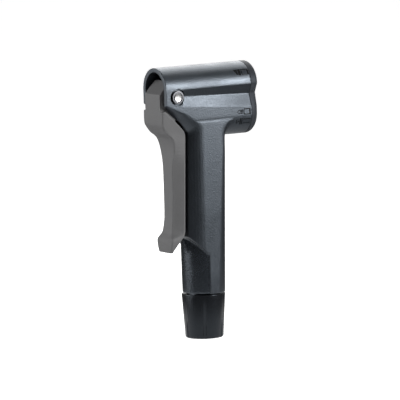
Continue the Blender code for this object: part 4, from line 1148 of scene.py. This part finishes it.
class InflatorPinOperator(bpy.types.Operator):
    """Build the polished hinge pin with its dished head, and the clip at its far end"""
    bl_idname = "inflator.add_pin"
    bl_label = "Hinge Pin and Clip"

    def execute(self, context):
        centre = (PIVOT_X, 0.0, PIVOT_Z)
        face, end = PIN_LOW.y, PIN_HIGH.y
        head, shank, edge = 3.05 * MM, 2.0 * MM, 0.25 * MM
        groove, dish, sunk = 2.2 * MM, 1.7 * MM, 0.12 * MM
        seat = -HEAD_RADIUS + PIN_SEAT_DEPTH - CLEAR
        lip, valley = 0.04 * MM, 0.4 * MM
        profile = [(dish * share, face + lip + sunk * (1 - share ** 2))
                   for share in [i / 12 for i in range(13)]]
        profile += [(dish + lip, face + valley), (groove - lip, face + valley),
                    (groove, face + lip), (groove + 1.5 * lip, face),
                    *arc((head - edge, face + edge), edge, -90, 0, 6),
                    (head, seat), (shank, seat), (shank, end - edge),
                    (shank - edge, end), (0.0, end)]
        pin = spun("hinge_pin", profile, "Y", centre, 96)
        steel = turned_metal("pin_steel", (0.125, 0.127, 0.135), 0.45, "Y", centre, tarnish=0.1,
                             tarnish_colour=(0.2, 0.2, 0.2), polished=dish + 0.02 * MM)
        give(pin, steel)
        finished(pin, "head", "pin_steel", "pivot_pin")

        low, high = CLIP_LOW.y, CLIP_HIGH.y
        head, hole, edge = 3.2 * MM, PIN_HOLE, 0.3 * MM
        profile = [(hole, low), (head, low), *arc((head - edge, high - edge), edge, 0, 90, 5),
                   *arc((hole + edge, high - edge), edge, 90, 180, 5)]
        clip = spun("pin_clip", profile, "Y", centre, 96)
        give(clip, steel)
        finished(clip, "head", "pin_steel", "pin_retainer")
        return {"FINISHED"}


class InflatorGrommetOperator(bpy.types.Operator):
    """Build the two rubber grommets that grip a tire valve"""
    bl_idname = "inflator.add_grommets"
    bl_label = "Port Grommets"

    def execute(self, context):
        rubber = soft_rubber("gland_rubber", (0.016, 0.016, 0.017))
        for name, low, high, outer, mouth in (
                ("wide", WIDE_GLAND_LOW, WIDE_GLAND_HIGH, 6.1 * MM, 4.1 * MM),
                ("slim", SLIM_GLAND_LOW, SLIM_GLAND_HIGH, 5.3 * MM, 3.1 * MM)):
            centre = (0, 0, (low.z + high.z) / 2)
            nose = mouth + 0.5 * MM
            lip = 0.2 * MM
            shoulder = SEAM_X
            profile = [(mouth, low.x), (outer, low.x), (outer, shoulder), (nose, shoulder),
                       *arc((nose - lip, high.x - lip), lip, 0, 90, 5),
                       *arc((mouth + lip, high.x - lip * 1.2), lip, 90, 150, 5),
                       (mouth, high.x - 3 * lip)]
            made = spun(name + "_grommet", profile, "X", centre, 96)
            give(made, rubber)
            finished(made, "head", "gland_rubber", name + "_gland")
        return {"FINISHED"}


class InflatorScrewOperator(bpy.types.Operator):
    """Build one end cap screw with its driver slot, and copy it to the other side"""
    bl_idname = "inflator.add_screws"
    bl_label = "Cap Screws"

    def execute(self, context):
        low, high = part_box("end_cap_screw_left")
        spot = Vector((0.0, -SCREW_Y, SCREW_Z))
        radius, shank, edge = 1.35 * MM, 0.75 * MM, 0.3 * MM
        neck = high.x - 1.0 * MM
        profile = [(0.0, low.x), (shank / 3, low.x), (shank, low.x + shank)]
        pitch = 0.6 * MM
        place = low.x + 1.4 * MM
        while place + pitch < neck - 1.0 * MM:
            profile += [(shank - 0.12 * MM, place), (shank, place + pitch / 2)]
            place += pitch
        profile += [(shank, neck), (radius, neck),
                    *arc((radius - edge, high.x - edge), edge, 0, 90, 6),
                    (0.0, high.x)]
        first = spun("cap_screw_left", profile, "X", spot, 48)
        half = 0.25 * MM
        cut(first, block("slot_tool", (high.x - 0.5 * MM, spot.y - half, spot.z - 2 * radius),
                         (high.x + REACH, spot.y + half, spot.z + 2 * radius)))
        give(first, turned_metal("screw_steel", (0.35, 0.35, 0.36), 0.3, "X", spot))
        second = first.copy()
        second.data = first.data.copy()
        context.collection.objects.link(second)
        second.data.transform(Matrix.Translation((0.0, 2 * SCREW_Y, 0.0)))
        named(second, "cap_screw_right")
        finished(first, "head", "screw_steel", "end_cap_screw_left")
        finished(second, "head", "screw_steel", "end_cap_screw_right")
        return {"FINISHED"}


class InflatorInsideOperator(bpy.types.Operator):
    """Give each CAD piece that stays in view its own procedural material"""
    bl_idname = "inflator.dress_inside"
    bl_label = "Inner Pieces"

    def execute(self, context):
        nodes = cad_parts
        wide = (0.0, 0.0, WIDE_Z)
        slim = (0.0, 0.0, SLIM_Z)
        hinge = (PIVOT_X, 0.0, PIVOT_Z)
        brass = (0.62, 0.43, 0.18)
        steel = (0.45, 0.45, 0.46)
        acetal = moulded_plastic("piston_plastic", (0.62, 0.62, 0.59), 0.4, specks=0.05, rub=0.0)
        seal = soft_rubber("seal_rubber", (0.012, 0.012, 0.013), 0.5)
        looks = {
            "yoke": moulded_plastic("yoke_plastic", (0.010, 0.010, 0.011), 0.5, rub=0.0,
                                    gloss=0.3),
            "wide_piston": acetal, "slim_piston": acetal, "hose_ferrule": acetal,
            "wide_piston_ring": seal, "slim_piston_ring": seal, "barb_ring": seal,
            "hose_barb": turned_metal("barb_brass", brass, 0.28, "Z"),
            "lever_bush": turned_metal("bush_brass", brass, 0.3, "Y", hinge),
            "wide_poppet": turned_metal("wide_poppet_brass", brass, 0.25, "X", wide),
            "slim_poppet": turned_metal("slim_poppet_brass", brass, 0.25, "X", slim),
            "wide_poppet_spring": turned_metal("wide_spring_steel", steel, 0.25, "X", wide),
            "slim_poppet_spring": turned_metal("slim_spring_steel", steel, 0.25, "X", slim),
            "slip_washer": turned_metal("washer_steel", steel, 0.3, "Z"),
        }
        for name, look in looks.items():
            give(nodes[name], look)
        return {"FINISHED"}


def direction(turn, rise):
    """The way from the object to a camera or lamp at these angles."""
    return Vector((math.sin(turn) * math.cos(rise), -math.cos(turn) * math.cos(rise),
                   math.sin(rise)))


class InflatorStageOperator(bpy.types.Operator):
    """Set the camera, the soft lamps, the pale floor and the white world"""
    bl_idname = "inflator.add_stage"
    bl_label = "Stage and Camera"

    def execute(self, context):
        stage = context.scene.inflator_stage
        context.scene.view_settings.view_transform = "Standard"
        aim = Vector((-0.31 * MM, 0.2 * MM, 62.74 * MM))
        back = direction(stage.azimuth, stage.elevation)
        leave_all()
        bpy.ops.object.camera_add(location=aim + back * stage.distance)
        camera = context.object
        camera.rotation_mode = "QUATERNION"
        facing = back.to_track_quat("Z", "Y")
        camera.rotation_quaternion = facing @ Matrix.Rotation(stage.roll, 3, "Z").to_quaternion()
        camera.data.sensor_width = 36.0
        camera.data.lens = 36.0 * stage.distance / stage.width
        camera.data.clip_start = 0.05
        camera.data.clip_end = 20.0
        context.scene.camera = camera

        lit = Vector((0.0, 0.0, 85.0 * MM))
        for name, power, turn, rise, distance, width, height in (
                ("key_lamp", stage.key_power, 31, 15, 0.42, 0.15, 0.15),
                ("side_lamp", stage.side_power, -117, 14, 0.50, 0.40, 0.40),
                ("back_lamp", stage.back_power, 132, 42, 0.60, 0.60, 0.50)):
            away = direction(math.radians(turn), math.radians(rise))
            leave_all()
            bpy.ops.object.light_add(type="AREA", location=lit + away * distance)
            lamp = context.object
            lamp.name = name
            lamp.data.shape = "RECTANGLE"
            lamp.data.energy = power
            lamp.data.size, lamp.data.size_y = width, height
            lamp.rotation_euler = away.to_track_quat("Z", "Y").to_euler()

        leave_all()
        bpy.ops.mesh.primitive_plane_add(size=12.0, location=(0.0, 0.0, -0.02 * MM))
        floor = named(context.object, "studio_floor")
        give(floor, floor_material(stage.floor_colour))
        world = bpy.data.worlds.new("white_studio")
        context.scene.world = world
        world.use_nodes = True
        dress_world(world.node_tree)
        leave_all()
        return {"FINISHED"}


def backdrop_sweep(tree, way):
    """White towards the backdrop behind the object, fading to the dim room elsewhere."""
    ahead = add_node(tree, "VectorMath", {0: way, 1: BACKDROP_WAY}, operation="DOT_PRODUCT")
    return add_node(tree, "MapRange", {
        "Value": ahead.outputs["Value"], "From Min": 0.90, "From Max": 0.98,
        "To Min": ROOM_LEVEL, "To Max": 1.0}, interpolation_type="SMOOTHSTEP").outputs["Result"]


def floor_material(colour):
    """A pale floor, white to the camera, that keeps the object's shadow.

    In reflections it is white under the object and towards the backdrop."""
    made, tree, shader = new_material("pale_floor")
    place = add_node(tree, "TexCoord").outputs["Object"]
    mottle = noise(tree, place, 40.0, 3.0)
    tint = blend_colours(tree, mottle, as_rgba(colour), as_rgba([c * 0.98 for c in colour]))
    tree.links.new(tint, shader.inputs["Base Color"])
    set_shader(shader, Roughness=0.9, Specular_IOR_Level=0.1)
    glow = add_node(tree, "Emission", {"Color": grey(1.0), "Strength": 0.8})
    total = add_node(tree, "AddShader", {0: shader.outputs[0], 1: glow.outputs[0]})
    path = add_node(tree, "LightPath").outputs
    seen = maths(tree, "MAXIMUM", path["Is Camera Ray"], path["Is Transmission Ray"])
    plain = add_node(tree, "MixShader", {0: seen, 1: shader.outputs[0], 2: total.outputs[0]})
    away = add_node(tree, "VectorMath", {0: place}, operation="LENGTH").outputs["Value"]
    way = add_node(tree, "VectorMath", {0: place}, operation="NORMALIZE").outputs["Vector"]
    near = add_node(tree, "MapRange", {
        "Value": away, "From Min": 0.03, "From Max": 0.16, "To Min": 1.0,
        "To Max": ROOM_LEVEL}, interpolation_type="SMOOTHSTEP").outputs["Result"]
    shown = maths(tree, "MAXIMUM", near, backdrop_sweep(tree, way))
    mirrored = add_node(tree, "Emission", {"Color": grey(1.0), "Strength": shown})
    pick = add_node(tree, "MixShader", {0: path["Is Glossy Ray"], 1: plain.outputs[0],
                                        2: mirrored.outputs[0]})
    tree.links.new(pick.outputs[0], tree.nodes["Material Output"].inputs["Surface"])
    return made


def dress_world(tree):
    """White to the camera and through glass, the backdrop in reflections, else a dim light."""
    background = tree.nodes["Background"]
    path = add_node(tree, "LightPath").outputs
    sweep = backdrop_sweep(tree, add_node(tree, "TexCoord").outputs["Generated"])
    dim = maths(tree, "MULTIPLY_ADD", path["Is Diffuse Ray"], 0.25, 0.0)
    mirrored = maths(tree, "MULTIPLY", path["Is Glossy Ray"], sweep)
    seen = maths(tree, "MAXIMUM", path["Is Camera Ray"], path["Is Transmission Ray"])
    strength = maths(tree, "MAXIMUM", seen, maths(tree, "MAXIMUM", mirrored, dim))
    background.inputs["Color"].default_value = grey(1.0)
    tree.links.new(strength, background.inputs["Strength"])


# ---------------------------------------------------------------- sidebar and run

OPERATORS = (InflatorStageOperator, InflatorHeadOperator, InflatorCapOperator,
             InflatorLeverOperator, InflatorCollarOperator, InflatorPinOperator,
             InflatorGrommetOperator, InflatorScrewOperator, InflatorInsideOperator)
GROUPS_OF_SIZES = {"inflator_mouldings": InflatorMouldings, "inflator_collar": InflatorCollar,
                   "inflator_stage": InflatorStage}


class InflatorPanel(bpy.types.Panel):
    """Lists the inflator's pieces and their sizes"""
    bl_idname = "VIEW3D_PT_inflator"
    bl_label = "Tire Inflator"
    bl_space_type = "VIEW_3D"
    bl_region_type = "UI"
    bl_category = "Inflator"

    def draw(self, context):
        for name, group in GROUPS_OF_SIZES.items():
            box = self.layout.box()
            for setting in group.__annotations__:
                box.prop(getattr(context.scene, name), setting)
        for operator in OPERATORS:
            self.layout.operator(operator.bl_idname)


def register():
    for name, group in GROUPS_OF_SIZES.items():
        bpy.utils.register_class(group)
        setattr(bpy.types.Scene, name, bpy.props.PointerProperty(type=group))
    for kind in (*OPERATORS, InflatorPanel):
        bpy.utils.register_class(kind)


def unregister():
    for kind in (InflatorPanel, *reversed(OPERATORS)):
        bpy.utils.unregister_class(kind)
    for name, group in GROUPS_OF_SIZES.items():
        delattr(bpy.types.Scene, name)
        bpy.utils.unregister_class(group)


def main():
    register()
    leave_all()
    build_groups()
    bpy.ops.inflator.add_stage()
    bpy.ops.inflator.add_head()
    bpy.ops.inflator.add_cap()
    bpy.ops.inflator.add_lever()
    bpy.ops.inflator.add_collar()
    bpy.ops.inflator.add_pin()
    bpy.ops.inflator.add_grommets()
    bpy.ops.inflator.add_screws()
    bpy.ops.inflator.dress_inside()


if __name__ == "__main__":
    main()
